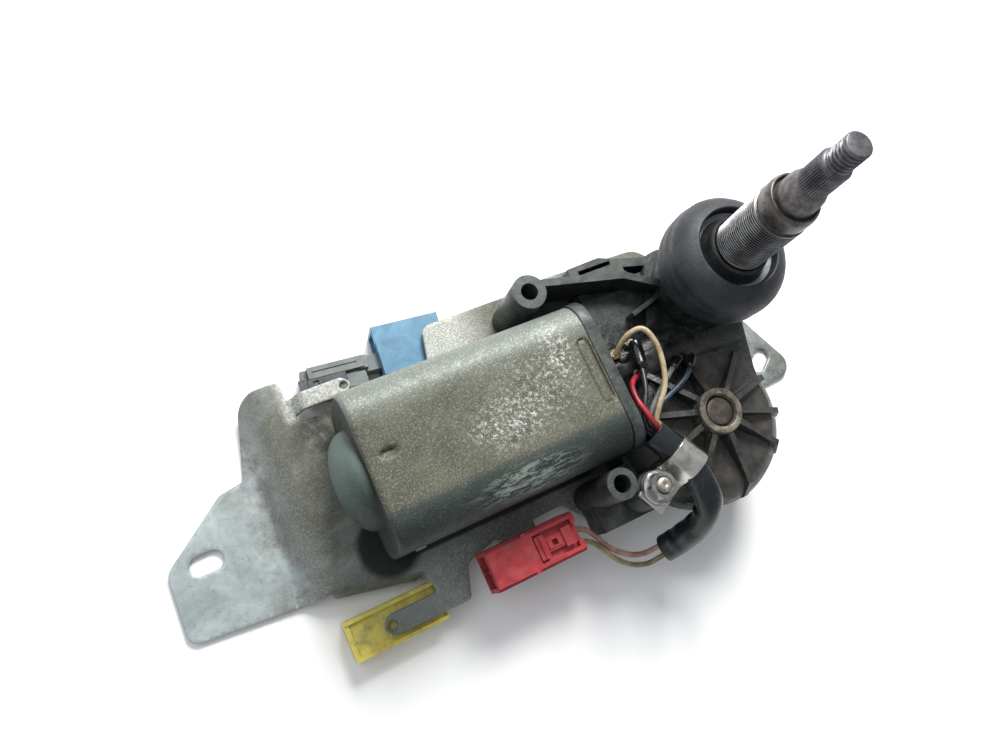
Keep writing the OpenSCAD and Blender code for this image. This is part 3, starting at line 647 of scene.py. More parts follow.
# name: worn tone, dark tone, roughness, dust, where dust starts and ends, bump, patch scale,
# how far light goes through, scuffs
MILD, WIRE = (0.5, 0.66), (0.52, 0.7)
PLASTICS = {
    # the boot's well floor: lighter than its rubber for dust, and as painted light for the light that falls
    # into the well
    "dusty_rubber_painted_light": ((150, 156, 166), (104, 109, 118), (0.6, 0.8), (132, 134, 140), (0.44, 0.62), 0.1, 260),
    "seal_rubber": ((34, 35, 36), (20, 21, 22), (0.4, 0.6), (58, 60, 63)),
    "sleeve_rubber": ((30, 36, 39), (17, 21, 23), (0.2, 0.34), (84, 84, 80), (0.56, 0.74), 0.08, 120, 0,
                      (66, 74, 80)),
    "black_plastic": ((44, 44, 44), (24, 24, 24), (0.4, 0.6), (86, 80, 72)),
    "cover_plastic": ((66, 66, 63), (46, 46, 44), (0.45, 0.65), (112, 104, 92), (0.45, 0.62)),
    "gear_plastic": ((220, 214, 194), (196, 187, 160), (0.3, 0.45), (70, 58, 40), (0.58, 0.72)),
    "plastic_red": ((182, 58, 62), (150, 40, 46), (0.34, 0.52), (128, 74, 74), (0.48, 0.68), 0.03, 150,
                    0.08, (222, 132, 138)),
    "plastic_yellow": ((212, 202, 104), (186, 172, 72), (0.24, 0.4), (140, 126, 78), (0.46, 0.7), 0.03, 95,
                       0.3, (232, 226, 168)),
    "plastic_blue": ((90, 140, 166), (70, 118, 146), (0.32, 0.5), (78, 98, 106), (0.5, 0.74), 0.03, 130,
                     0.08, (146, 186, 202)),
    "latch_grey": ((66, 74, 82), (44, 50, 57), (0.34, 0.5), (104, 100, 94), (0.5, 0.7), 0.03, 200),
    "plastic_grey": ((118, 126, 126), (92, 100, 100), (0.36, 0.55), (112, 106, 96), (0.46, 0.66)),
    "magnet": ((74, 75, 78), (52, 53, 56), (0.5, 0.7), (100, 92, 84), MILD, 0.08),
    "carbon": ((44, 44, 46), (26, 26, 28), (0.35, 0.55), None, MILD, 0.06),
    "flux": ((126, 104, 66), (66, 50, 32), (0.2, 0.4), (40, 34, 28), MILD, 0.1, 420),
    "grease": ((26, 27, 26), (14, 14, 14), (0.18, 0.34), (62, 54, 44), (0.56, 0.72), 0.12, 300),
    "shrink_tube": ((24, 28, 30), (14, 16, 18), (0.14, 0.28), (70, 66, 58), (0.6, 0.76), 0.03, 260),
}
WIRE_TONES = {"beige": ((182, 166, 134), (146, 128, 98)), "red": ((168, 32, 46), (108, 17, 27)),
              "grey": ((120, 122, 122), (86, 88, 90)), "blue": ((62, 78, 98), (40, 52, 70)),
              "black": ((38, 40, 44), (22, 23, 26)), "pink": ((176, 138, 128), (140, 104, 96)),
              "olive": ((150, 138, 104), (116, 104, 76))}
for name, (base, dark) in WIRE_TONES.items():
    PLASTICS["wire_" + name] = (base, dark, (0.3, 0.45), (92, 82, 70), WIRE, 0.03, 240)
for name, values in PLASTICS.items():
    MAT[name] = plastic_paint(name, *values).mat

# material: the CAD nodes that wear it
WEARS = {
    "can_steel": "motor_can", "magnet": "field_magnets", "black_plastic": "brush_plate",
    "bronze": "rear_bearing_bush front_bearing_bush spindle_bushes", "carbon": "carbon_brushes",
    "spring_steel": "brush_springs", "cover_cast": "gear_housing", "cover_plastic": "housing_cover",
    "bright_steel": "cover_screws bracket_screws clip_washer clip_nut", "seal_rubber": "spindle_seal",
    "hub_steel": "hub_ring", "contact_brass": "park_contacts park_disc", "stud_steel": "clip_stud",
    "link_steel": "wheel_axle crank_pin spindle_lever link_pin connecting_link",
    "terminal_metal": "motor_terminals connector_pins", "worm_steel": "armature_shaft worm",
    "core_steel": "armature_core", "copper_wire": "armature_windings", "commutator_copper": "commutator",
    "gear_plastic": "worm_wheel", "bracket_zinc": "mounting_bracket", "sleeve_steel": "spindle_sleeve",
    "grommet_rubber": "rubber_grommet", "clip_steel": "harness_clip", "sleeve_rubber": "harness_sleeve",
    "plastic_red": "red_connector red_latch", "plastic_yellow": "yellow_connector",
    "plastic_blue": "blue_connector", "plastic_grey": "grey_connector grey_latch_bar",
    "dark_steel": "output_spindle",
    **{"wire_" + key: key + "_wire" for key in WIRE_TONES},
}
for material, names in WEARS.items():
    for name in names.split():
        slots = NODES[name].data.materials
        if not slots:
            slots.append(None)
        for i in range(len(slots)):
            slots[i] = MAT[material]


# ---- leads and their sleeve
def tube(name, points, radius, material, replaced, steps, around, shape):
    """A closed tube along a smooth path. shape(share, angle) varies its radius."""
    q = eased(points, steps)
    bm = bmesh.new()
    rings = []
    for i, (c, u, v) in enumerate(path_frames(q)):
        share = i / (len(q) - 1)
        rings.append(add_ring(bm, [c + (u * cos(a) + v * sin(a)) * (radius * shape(share, a))
                                   for a in round_about(around)]))
    skin(bm, rings)
    cap_ends(bm, rings)
    return finish_mesh(name, bm, material, 50, replaced), q


for node, route in ROUTES.items():
    random.seed(node)
    phase = random.uniform(0, 6)
    wire, q = tube(node + "_lead", route, WIRE_R, "wire_" + node[:-5], (node,), 6, 16,
                   lambda s, a, f=phase: 1 + 0.025 * sin(19 * s + f + a))


def harness_sleeve():
    """A soft vinyl sleeve, open at both ends, creased where it bends down off the case."""
    radius, clipped_radius, wall, sharp_bend = 4.95, 4.9, 0.75, 0.4
    clip_end, fold_at, near_fold_at = 0.36, 0.66, 0.5
    q = eased(HARNESS, 12)
    bm = bmesh.new()
    outer, inner = [], []
    for i, (c, u, v) in enumerate(path_frames(q)):
        s = i / (len(q) - 1)
        ahead = q[min(i + 4, len(q) - 1)] - c
        back = c - q[max(i - 4, 0)]
        bend = ahead.normalized() - back.normalized() if ahead.length and back.length else Vector()
        crease = min(1, bend.length / sharp_bend)
        kink = exp(-((s - fold_at) / 0.07) ** 2) + 0.7 * exp(-((s - near_fold_at) / 0.05) ** 2)
        inside = bend.normalized() if bend.length > 1e-4 else u
        ro, ri = [], []
        for a in round_about(40):
            d = u * cos(a) + v * sin(a)
            toward = max(0, d.dot(inside))
            fold = 0.5 + 0.5 * sin(s * 62 + 1.2 * sin(a * 2 + s * 7))
            r = radius - 1.5 * crease * toward * fold - 1.3 * kink * toward ** 2
            r -= 0.22 * (0.5 + 0.5 * sin(a * 3 + s * 17)) * smooth_step(0.3, 0.45, s)
            r -= 0.55 * smooth_step(0.9, 1.0, s) * abs(sin(a))
            if s < clip_end:
                r = clipped_radius - 0.06 * sin(a * 4 + s * 30)
            ro.append(c + d * r)
            ri.append(c + d * (r - wall))
        outer.append(add_ring(bm, ro))
        inner.append(add_ring(bm, ri))
    skin(bm, outer)
    skin(bm, inner[::-1])
    bridge(bm, inner[0], outer[0])
    bridge(bm, outer[-1], inner[-1])
    soften(finish_mesh("harness_sheath", bm, "sleeve_rubber", 60, ("harness_sleeve",)), 0.2, 2, 60)


harness_sleeve()


# ---- spindle, sleeve and grommet
def saw(z, angle, pitch):
    """0 at a thread's root, 1 at its crest."""
    t = (z / pitch - angle / (2 * pi)) % 1
    return min(1, max(0, 1.35 - abs(2 * t - 1) * 1.7))


def steps_between(z0, z1, step):
    n = max(1, round((z1 - z0) / step))
    return [z0 + (z1 - z0) * k / n for k in range(n + 1)]


def spindle():
    """Plain shaft and stained neck, a knurled seat for the arm, and a threaded end for its nut."""
    thread_lo, thread_hi, thread_r, thread_deep, pitch = 121.6, 129.4, 4.15, 0.8, 1.45
    knurl_lo, knurl_hi, teeth, tooth = 110.9, 120.2, 40, 0.42

    def radius_at(r, z, a):
        if thread_lo < z < thread_hi:
            run_in = smooth_step(thread_lo, 122.6, z) * smooth_step(129.5, 128.9, z)
            return thread_r - thread_deep * (1 - saw(z, a, pitch)) * run_in
        if knurl_lo < z < knurl_hi:
            knurl = 0.5 + 0.5 * cos(teeth * a)
            return r - tooth * knurl * smooth_step(knurl_lo, 111.4, z) * smooth_step(120.25, 119.9, z)
        return r

    profile = [(6, 22.55), (6, 60), (6, 98), (6.5, 99), (6.55, 101), (6.5, 106.6), (6.3, 107.8), (5.3, 110.2),
               (4.9, 110.6), (5.05, 110.8)]
    profile += [(5.2, z) for z in (111, 111.4, 113, 115, 117, 119, 119.9, 120.2)]
    profile += [(5.1, 120.5), (4.3, 121.4), (3.75, 121.6)]
    profile += [(thread_r, z) for z in steps_between(121.7, 129.3, 0.156)]
    profile += [(4.1, 129.4), (4.05, 129.65), (3.75, 129.92), (3.6, 129.97), (0.4, 129.97)]
    turned_rod("wiper_spindle", profile, "dark_steel", 40, ("output_spindle",), segments=200,
               radius_at=radius_at, body="spindle")


def threaded_sleeve():
    """Open-ended tube with a fine outside thread below its plain collar."""
    thread_lo, thread_hi, thread_r, thread_deep, pitch = 72.4, 94.6, 9.0, 0.62, 1.0

    def radius_at(r, z, a):
        if thread_lo < z < thread_hi and r > 8.7:
            run = smooth_step(thread_lo, 73.2, z) * smooth_step(thread_hi, 93.9, z)
            return thread_r - thread_deep * (1 - saw(z, a, pitch)) * run
        return r

    profile = [(7.25, 33.7), (8.55, 33.7), (8.55, 71.2), (8.75, 71.9)]
    profile += [(thread_r, z) for z in steps_between(72.2, 94.8, 0.125)]
    profile += [(8.3, 95.1), (8.25, 95.9), (8.6, 96.2), (8.7, 96.5), (8.7, 100.4), (8.6, 101.2), (8.4, 101.7),
                (8.1, 102.4), (7.9, 102.5), (7.5, 102.45), (7.3, 102.2), (7.25, 101.6), (7.25, 60)]
    turned_ring("panel_sleeve", profile, (0, 0), "sleeve_steel", ("spindle_sleeve",), 96, radius_at, 40)


def grommet():
    """Rubber boot: one smooth bulb with a faint waist and a thin lip, its well and its inner collar."""
    bulb = [(10.7, 50), (11.0, 48.2), (13.2, 47.6)]
    bulb += arc(12.4, 56.4, 9.0, -82, 8, 22)
    bulb += arc(11.0, 60.9, 10.6, -8, 64, 26)
    bulb += [(15.1, 70.75), (14.6, 71.0), (14.1, 70.9), (13.85, 70.4), (13.8, 69.6), (13.9, 67), (13.6, 64.6),
             (12.8, 62.7), (11.6, 61.7), (10.3, 61.3), (10.3, 56)]

    def radius_at(r, z, a):
        soft = smooth_step(12, 18, r)
        waist = 0.55 * exp(-((z - 62.4) / 1.7) ** 2) * smooth_step(-0.2, 0.9, cos(a - 2.7))
        return r + soft * (0.16 * sin(2 * a + 0.6) - 0.2 - waist + 0.05 * sin(5 * a + z * 0.3)
                           + 0.02 * sin(13 * a - z * 0.9))

    turned_ring("rubber_boot", bulb, (0, 0), "grommet_rubber", ("rubber_grommet",), 160, radius_at, 60)
    well = [(9.6, 64.4), (12.6, 65.0), (13.3, 65.8), (13.6, 67.6), (13.45, 67.8), (13.0, 67.0), (12.3, 66.6),
            (11.2, 66.4), (9.6, 66.4)]
    collar = [(9.15, 60.5), (11.7, 61.2), (12.1, 65.9), (11.7, 67.0), (10.9, 68.4), (10.5, 70.8),
              (10.3, 71.6), (9.9, 71.95), (9.35, 71.9), (9.1, 71.5)]
    # the well floor wears the lighter rubber: dust, and painted light in the well
    turned_ring("boot_floor", well, (0, 0), "dusty_rubber_painted_light", segments=128)
    turned_ring("boot_collar", collar, (0, 0), "seal_rubber", segments=128)


spindle()
threaded_sleeve()
grommet()


# ---- motor can
def rounded_section(w, h, r, n):
    """n points round an upright rounded rectangle, as (across, up), evenly spaced along it."""
    pts = []
    for cx, cy, a0 in ((w / 2 - r, h / 2 - r, 0), (r - w / 2, h / 2 - r, 90),
                       (r - w / 2, r - h / 2, 180), (w / 2 - r, r - h / 2, 270)):
        pts += arc(cx, cy, r, a0, a0 + 90, 24)
    loop = pts + [pts[0]]
    lengths = [0]
    for a, b in zip(loop, loop[1:]):
        lengths.append(lengths[-1] + dist(a, b))
    out = []
    seg = 0
    for k in range(n):
        want = lengths[-1] * k / n
        while lengths[seg + 1] < want:
            seg += 1
        t = (want - lengths[seg]) / max(1e-9, lengths[seg + 1] - lengths[seg])
        a, b = loop[seg], loop[seg + 1]
        out.append((a[0] + (b[0] - a[0]) * t, a[1] + (b[1] - a[1]) * t))
    return out


def pressed_marks(x, y):
    """How deep the can's top is pressed: almond dent, small vent, obround pad and faint waves."""
    dent = hypot((x + 127.2) / 3.6, (y + 15.9) / 1.9)
    vent = hypot(x + 90.6, (y + 27.7) * 0.8)
    pad = hypot(x + 55.1, max(0, abs(y + 16.8) - 9.4))
    return (1.6 * smooth_step(1.0, 0.5, dent) * smooth_step(-18.4, -14.6, y)
            + 0.8 * smooth_step(1.15, 0.5, vent)
            + 0.75 * smooth_step(2.3, 1.95, pad) - 0.3 * smooth_step(1.7, 1.3, pad)
            + 0.12 * (0.5 + 0.5 * sin(x * 0.16 + 1) * cos(y * 0.2)))


def motor_can():
    """Flat-sided drawn can: domed far end, rounded end edge, long walls and an open mouth."""
    end, mouth, end_r = -135, -52, 1.8
    middle_y, middle_z = -18, 30
    wide, tall, corner = 53, 38, 10
    dome_r, dome_x, dome_deep = 16.6, -135.5, 8.4

    def section(inset):
        return rounded_section(wide - 2 * inset, tall - 2 * inset, corner - inset * 0.85, 208)

    stations = []
    for a in range(0, 91, 10):
        along, across = polar(1, a)
        stations.append((end + end_r * (1 - along), section(end_r * (1 - across))))
    x = end + end_r
    wall = section(0)
    while x < mouth - 0.8:
        x += 0.8 if x < -60 else 0.4
        stations.append((min(x, mouth - 0.6), wall))
    stations += [(mouth - 0.2, section(0.15)), (mouth, section(0.6))]
    flat = section(end_r)
    dome = [(17.2, -135.02, 0.8), (17.0, -135.1, 1), (dome_r, dome_x, 1)]
    for a in range(8, 88, 5):
        inward, outward = polar(1, a)
        dome.append((dome_r * inward ** 0.9, dome_x - dome_deep * outward, 1))
    ends = []
    for radius, x, share in dome:
        ring = [[c * radius / hypot(*p) for c in p] for p in flat]
        ends.append((x, [(a[0] * share + b[0] * (1 - share), a[1] * share + b[1] * (1 - share))
                         for a, b in zip(ring, flat)]))
    bm = bmesh.new()
    rings = []
    for x, loop in ends[::-1] + stations:
        ring = []
        for dy, dz in loop:
            press = pressed_marks(x, middle_y + dy) if dz > 15 and x > end + 1 else 0
            ring.append((x, middle_y + dy, middle_z + dz - press))
        rings.append(add_ring(bm, ring))
    skin(bm, rings)
    cap_ends(bm, rings)
    can = finish_mesh("can_shell", bm, "can_steel", 40, ("motor_can",))
    # square lanced hole low on the near side
    bm = bmesh.new()
    box_mesh(bm, -129.2, -125.4, -47, -43.2, 33.9, 37.6)
    to_frame(bm)
    cutter = as_object("lance", bm)
    boolean(can, "DIFFERENCE", cutter)
    pierced = applied_mesh(can)
    can.modifiers.clear()
    whole = can.data
    can.data = pierced
    bpy.data.meshes.remove(whole)
    bpy.data.objects.remove(cutter)
    smooth(pierced, 40)


motor_can()
# the bright lip bent out of the square hole
lip = carve([(-129.0, -125.6, -44.9, -44.3, 33.5, 34.3), (-129.0, -125.6, -45.1, -44.2, 33.2, 33.7)])
soften(finish_mesh("lanced_lip", lip, "bright_steel"), 0.15)


# ---- pressed bracket
def round_loop(corners):
    """Rounds each (x, y, radius) corner and spaces points evenly along the outline."""
    spacing, arc_step = 1.2, 0.5
    out = []
    n = len(corners)
    for i in range(n):
        a, b, c = (Vector(corners[j % n][:2]) for j in (i - 1, i, i + 1))
        r = corners[i][2]
        if r <= 0:
            out.append(b)
            continue
        u, w = (a - b).normalized(), (c - b).normalized()
        half = acos(max(-1, min(1, u.dot(w)))) / 2
        reach = min(r / tan(half), 0.49 * (a - b).length, 0.49 * (c - b).length)
        r = reach * tan(half)
        m = b + (u + w).normalized() * r / sin(half)
        s, e = b + u * reach - m, b + w * reach - m
        a0, a1 = atan2(s.y, s.x), atan2(e.y, e.x)
        turn = (a1 - a0 + pi) % (2 * pi) - pi
        steps = max(2, int(abs(turn) * r / arc_step))
        out += [m + Vector((cos(a0 + turn * k / steps), sin(a0 + turn * k / steps))) * r
                for k in range(steps + 1)]
    spaced = []
    for a, b in zip(out, out[1:] + out[:1]):
        k = max(1, int((b - a).length / spacing))
        spaced += [a + (b - a) * i / k for i in range(k)]
    return spaced


def slot_loop(cx, cy, length, width, deg=0, n=12):
    """A slot's outline, or a round hole's where length and width are the same."""
    c, s = polar(1, deg)
    half = (length - width) / 2
    pts = arc(half, 0, width / 2, -90, 90, n) + arc(-half, 0, width / 2, 90, 270, n)
    if not half:
        pts = arc(0, 0, width / 2, 0, 360 - 360 / (2 * n), 2 * n - 1)
    return [Vector((cx + x * c - y * s, cy + x * s + y * c)) for x, y in pts]


def shrink(loop, by):
    """Moves an anticlockwise loop inwards."""
    out = []
    n = len(loop)
    for i in range(n):
        t = (loop[(i + 1) % n] - loop[i - 1]).normalized()
        out.append(loop[i] + Vector((-t.y, t.x)) * by)
    return out


LONGEST_HOLE = 13
THICKEST = 1.5  # a fold is at most this many sheets thick when measured upright


def within(p, loop):
    """Whether a point lies inside the closed loop of a hole."""
    if max(abs(p.x - loop[0].x), abs(p.y - loop[0].y)) > LONGEST_HOLE:
        return False
    odd = False
    for a, b in zip(loop, loop[1:] + loop[:1]):
        if (a.y > p.y) != (b.y > p.y) and p.x < a.x + (p.y - a.y) * (b.x - a.x) / (b.y - a.y):
            odd = not odd
    return odd


def sheet_grid(outline, inner, grid):
    """The rims' points, then staggered points over the whole blank, and the edges round the rims."""
    pts, edges = [], []
    for loop in inner:
        start = len(pts)
        pts += loop
        edges += [(start + i, start + (i + 1) % len(loop)) for i in range(len(loop))]
    xs, ys = [p.x for p in outline], [p.y for p in outline]
    x = min(xs) + grid
    row = 0
    while x < max(xs):
        y = min(ys) + grid * (0.5 if row % 2 else 1)
        while y < max(ys):
            pts.append(Vector((x, y)))
            y += grid
        x += grid * 0.87
        row += 1
    return pts, edges


def steepness(height, p):
    """How much longer the sheet is than its plan at a point."""
    step = 0.2
    gx = (height(p.x + step, p.y) - height(p.x - step, p.y)) / (2 * step)
    gy = (height(p.x, p.y + step) - height(p.x, p.y - step)) / (2 * step)
    slope = hypot(gx, gy)
    return sqrt(1 + slope * slope)


def pressed_sheet(name, outline, holes, height, thick, edge, grid, material, replaced):
    """A blank cut to an outline with holes, pressed to height(x, y), with softened edges."""
    loops = [outline] + [h[::-1] for h in holes]
    inner = [shrink(loop, edge) for loop in loops]
    pts, edges = sheet_grid(outline, inner, grid)
    verts, _, faces, orig, _, _ = delaunay_2d_cdt(pts, edges, [], 1, 1e-5)
    faces = [f for f in faces if not any(within(sum((verts[i] for i in f), Vector((0, 0))) / len(f), loop)
                                         for loop in inner[1:])]
    used = sorted({i for f in faces for i in f})
    bm = bmesh.new()
    top, bottom, where = {}, {}, {}
    for i in used:
        x, y = verts[i]
        z = height(x, y)
        low = max(0.0, z - thick * min(steepness(height, verts[i]), THICKEST))
        top[i] = bm.verts.new((x, y, z))
        bottom[i] = bm.verts.new((x, y, low))
        where.update((o, i) for o in orig[i])
    for f in faces:
        bm.faces.new([top[i] for i in f])
        bm.faces.new([bottom[i] for i in reversed(f)])
    rounding = ((0.71, 0.29), (1.0, 1.0))
    start = 0
    for loop, small in zip(loops, inner):
        rim = []
        for k, p in enumerate(loop):
            i = where.get(start + k)
            if i is None:
                rim.append(None)
                continue
            z, low = top[i].co.z, bottom[i].co.z
            places = [(share, z - edge * drop) for share, drop in rounding]
            places += [(share, low + edge * drop) for share, drop in rounding[::-1]]
            ring = [bm.verts.new((*(small[k] + (p - small[k]) * share), level)) for share, level in places]
            rim.append([top[i], *ring, bottom[i]])
        for a, b in zip(rim, rim[1:] + rim[:1]):
            if a is None or b is None:
                continue
            for j in range(5):
                corners = (a[j], a[j + 1], b[j + 1], b[j])
                if len(set(corners)) == 4:
                    bm.faces.new(corners)
        start += len(loop)
    finish_mesh(name, bm, material, 50, replaced)


# (x, y, corner radius) round the flat blank, clockwise from the left ear
OUTLINE = [(-199.5, -18.5, 5), (-176.6, -1, 6), (-168, 0.5, 1.5), (-160.5, 26.5, 8), (-146, 26.5, 2),
           (-146, 19.2, 1), (-126.6, 19.2, 2.9), (-123.4, 16.1, 2.9), (-126.6, 13.2, 2.9),
           (-144.6, 13.2, 0.5), (-144.6, 10.6, 0.5), (-100, 10.6, 2), (-97.2, 9.4, 0.5), (-97, 10, 0),
           (-93, 26.5, 4), (-44, 26.5, 3), (-43.6, 18, 0.6), (-43.6, 10, 0.8), (-41.8, 10, 0.8),
           (-41.5, 29.5, 3), (2, 28, 8), (26, 2, 6), (39, -13.8, 4), (52.36, -42, 6), (24, -43, 3),
           (0, -62, 10), (-40, -67, 4), (-58, -67, 4), (-72, -51.3, 4), (-84, -51.7, 1), (-84.4, -64, 1.5),
           (-98, -64, 1.5), (-98, -52, 1), (-111, -55.5, 4), (-114.5, -66.5, 2), (-141.6, -66.5, 3.4),
           (-145, -63, 3.4), (-141.6, -59.5, 3.4), (-124, -59.5, 1), (-126, -52.6, 2), (-128.5, -53.4, 0.6),
           (-154.6, -47.8, 0.6), (-155, -45.5, 1), (-162, -46, 3), (-200.5, -42.3, 4)]


def bracket_height(x, y):
    """Top face of the pressed sheet: level ears, sloped folds with bend radii, raised platform."""
    ear, platform, bend_r = 2, 11, 2.4
    left = smooth_bend(x, -164.5, -155, bend_r)
    right = 1 - smooth_bend(x, 14, 24, bend_r)
    z = ear + (platform - ear) * min(left, right)
    # far flange, far tongue and near tab, each a step above the platform
    if -97.5 < x < -42.9 and y > 6:
        z += 4 * smooth_step(6.6, 9.4, y)
    if -144.8 < x < -119 and 11.7 < y < 20:
        z += 5 * smooth_step(-144.8, -141.2, x)
    if -98.5 < x < -83.5 and y < -51.5:
        z += 0.45 * smooth_step(-51.7, -54.5, y)
    # the edge turned down along the near side of the platform
    near = -45.9 - 0.21 * (x + 154) - y
    if -155.2 < x < -126 and -1.2 < near < 3.4:
        z -= 5.2 * smooth_step(-1.2, 2.0, near) ** 1.3
    z += 0.10 * sin(x * 0.11 + 0.5) * sin(y * 0.13)
    return z


def smooth_bend(x, a, b, radius):
    """A straight ramp from a to b whose two ends are rounded over the bend radius."""
    def soft(t):
        return t if t > radius else 0 if t < -radius else (t + radius) ** 2 / (4 * radius)
    return max(0.0, min(1.0, (soft(x - a) - soft(x - b)) / (b - a)))


HOLES = [slot_loop(-187.4, -20, 11, 6.4), slot_loop(37.7, -32.4, 11, 6.4, 35),
         slot_loop(-141.5, -63, 3, 3, n=10), slot_loop(-126.6, 16.2, 2.8, 2.8, n=10),
         slot_loop(-62, 17, 6.2, 6.2), slot_loop(-62, -53, 6.2, 6.2), slot_loop(*NUT_AT, 6, 6)]
pressed_sheet("pressed_bracket", round_loop(OUTLINE[::-1]), HOLES, bracket_height, thick=2.0, edge=0.35,
              grid=1.9, material="bracket_zinc", replaced=("mounting_bracket",))


# ---- clip, nut, stud and hub
def strip(name, path, thick, half_width, origin, deg, material, replaced):
    """A metal band: an open (x, z) path with thickness and width, turned about its origin."""
    left, right = [], []
    n = len(path)
    for i, p in enumerate(path):
        a, b = Vector(path[max(0, i - 1)]), Vector(path[min(n - 1, i + 1)])
        t = (b - a).normalized()
        out = Vector((-t.y, t.x)) * thick / 2
        left.append(Vector(p) + out)
        right.append(Vector(p) - out)
    bm = bmesh.new()
    rings = [add_ring(bm, [(p.x, y, p.y) for p in left + right[::-1]]) for y in (-half_width, half_width)]
    bridge(bm, *rings)
    for ring in rings:
        for i in range(n - 1):
            bm.faces.new((ring[i], ring[i + 1], ring[2 * n - 2 - i], ring[2 * n - 1 - i]))
    turn_and_move(bm, origin, deg)
    soften(finish_mesh(name, bm, material, 40, replaced), 0.2, 2, 50)


band = [(-18.5, -5.05), (-12, -5.05), (-6, -5.05), (-4.0, -5.15)]
band += [polar(5.45, a) for a in range(-112, 169, 7)]
band += [(-6.1, -0.6), (-6.5, -2.3), (-7.4, -3.6), (-9, -4.15), (-14, -4.2), (-18.5, -4.2)]
strip("clip_band", band, 0.8, 5, CLIP_AT, 28, "clip_steel", ("harness_clip",))


def hex_nut():
    """Flanged hex nut: six chamfered flats that turn into a round top face."""
    cx, cy, z0 = *NUT_AT, 40.05
    bm = bmesh.new()
    rings = []
    # (height, radius at the corners, roundness)
    for z, corner, cut in ((0, 5.6, 1.0), (0.35, 5.75, 1.0), (0.8, 5.5, 1.0), (1.0, 4.95, 0.0),
                           (3.5, 4.95, 0.0), (3.9, 4.95, 0.45), (4.3, 4.4, 1.0), (4.32, 3.1, 1.0),
                           (4.0, 2.65, 1.0), (0, 2.65, 1.0)):
        ring = []
        for a in round_about(72):
            facet = (a + radians(12)) % (pi / 3) - pi / 6
            flat = corner * cos(pi / 6) / cos(facet)
            r = corner if cut == 1 else flat if cut == 0 else min(flat, corner * 0.94)
            ring.append((cx + r * cos(a), cy + r * sin(a), z0 + z))
        rings.append(add_ring(bm, ring))
    skin(bm, rings)
    bridge(bm, rings[-1], rings[0])
    finish_mesh("flange_nut", bm, "bright_steel", 28, ("clip_nut",))


hex_nut()
STUD_R = 2.5
stud = [(0.6, 6.5), (2.2, 6.5), (STUD_R, 6.8), (STUD_R, 20), (STUD_R, 36)]
stud += [(STUD_R, z) for z in steps_between(36.6, 45.0, 0.2)]
stud += [(2.35, 45.1), (1.9, 45.45), (0.7, 45.5), (0.4, 45.3)]
turned_rod("clip_bolt", stud, "stud_steel", 40, ("clip_stud",), NUT_AT, 40,
           lambda r, z, a: STUD_R - 0.3 * (1 - saw(z, a, 0.8)) if 36.5 < z < 45.0 and r > 2.4 else r)
washer = [(2.7, 39.05), (5.7, 39.05), (5.95, 39.2), (5.95, 39.75), (5.75, 39.95), (4, 40.0), (2.7, 39.95)]
turned_ring("stud_washer", washer, NUT_AT, "bright_steel", ("clip_washer",))
hub = [(5.65, 42.4), (7.95, 43.5), (8.0, 43.8), (7.9, 44.7), (7.65, 44.95), (6.2, 45.0), (5.85, 44.9),
       (5.5, 44.2), (5.3, 43.2), (5.3, 42.6)]
turned_ring("hub_collar", hub, WHEEL_AT, "hub_steel", ("hub_ring",))
axle = [(0.5, 22.5), (4.3, 22.5), (4.6, 22.8), (4.6, 30), (4.6, 40.4), (4.75, 40.8), (4.8, 43.0), (4.7, 43.6),
        (4.3, 43.9), (3.2, 44.0), (2.0, 43.95), (0.6, 43.9)]
turned_rod("axle_end", axle, "axle_steel", 35, ("wheel_axle",), WHEEL_AT)


# ---- terminals with soldered leads
def solder(name, place, size, seed, material="solder"):
    """A lumpy solder joint that wets the tab and the end of its lead."""
    random.seed(seed)
    bm = bmesh.new()
    bmesh.ops.create_icosphere(bm, subdivisions=4, radius=1)
    bumps = [(Vector([random.uniform(-1, 1) for _ in range(3)]).normalized(), random.uniform(0.12, 0.3))
             for _ in range(7)]
    for v in bm.verts:
        d = v.co.normalized()
        k = 1 + sum(h * exp(-6 * (1 - d.dot(b))) for b, h in bumps) - 0.15
        flat = 0.45 if d.z < 0 else 1
        v.co = Vector(place) + Vector((d.x * size[0], d.y * size[1], d.z * size[2] * flat)) * k
    finish_mesh(name, bm, material, 60)


tabs = carve([(-45, -41, -13.5, -12.7, 36.5, 40.5), (-45, -41, -14.2, -11.8, 36.5, 37.8),
              (-43.6, -42.2, -13.5, -12.2, 38, 40.5),
              (-36, -32, -11.4, -10.6, 36, 39.5), (-36, -32, -12, -10, 36, 37.4),
              (-34.8, -33.4, -11.8, -10.6, 37, 39.4)])
soften(finish_mesh("solder_tabs", tabs, "terminal_metal", 30, ("motor_terminals",)), 0.12)
solder("solder_far", (-42.0, -13.0, 40.0), (2.5, 1.7, 1.25), 3)
solder("solder_near", (-34.2, -11.1, 39.4), (1.6, 1.3, 1.0), 5)
solder("solder_red", (-37, -21.6, 39.2), (1.4, 1.3, 0.9), 7)
solder("flux_lump", (-44.6, -15.2, 39.4), (1.6, 2.3, 1.0), 9, "flux")
solder("grease_lump_far", (-45.8, -20.5, 38.4), (2.2, 3.2, 1.4), 11, "grease")
solder("grease_lump_near", (-38.6, -15.6, 38.6), (2.6, 1.9, 1.2), 13, "grease")


def boot(name, points, radius):
    """Glossy black shrink tubing over the end of a lead, waisted at both ends."""
    def swell(t, a):
        waist = smooth_step(0, 0.16, t) * smooth_step(1, 0.84, t)
        return 0.62 + 0.38 * waist + 0.02 * sin(9 * t + 2 * a)

    tube(name, points, radius, "shrink_tube", (), 7, 20, swell)


boot("black_lead_boot",
     [(-33.9, -11.6, 41.3), (-34.4, -13.5, 41.9), (-35.5, -18, 42.5), (-36.8, -21.4, 43.3)], 2.3)
boot("grey_lead_boot", [(-19.6, -22.8, 39.8), (-22.6, -24.2, 41.1), (-25.4, -25.3, 42.1)], 1.55)
boot("blue_lead_boot", [(-14.8, -23.7, 40.2), (-17, -25.5, 41.3), (-19.4, -27.4, 42.4)], 1.55)


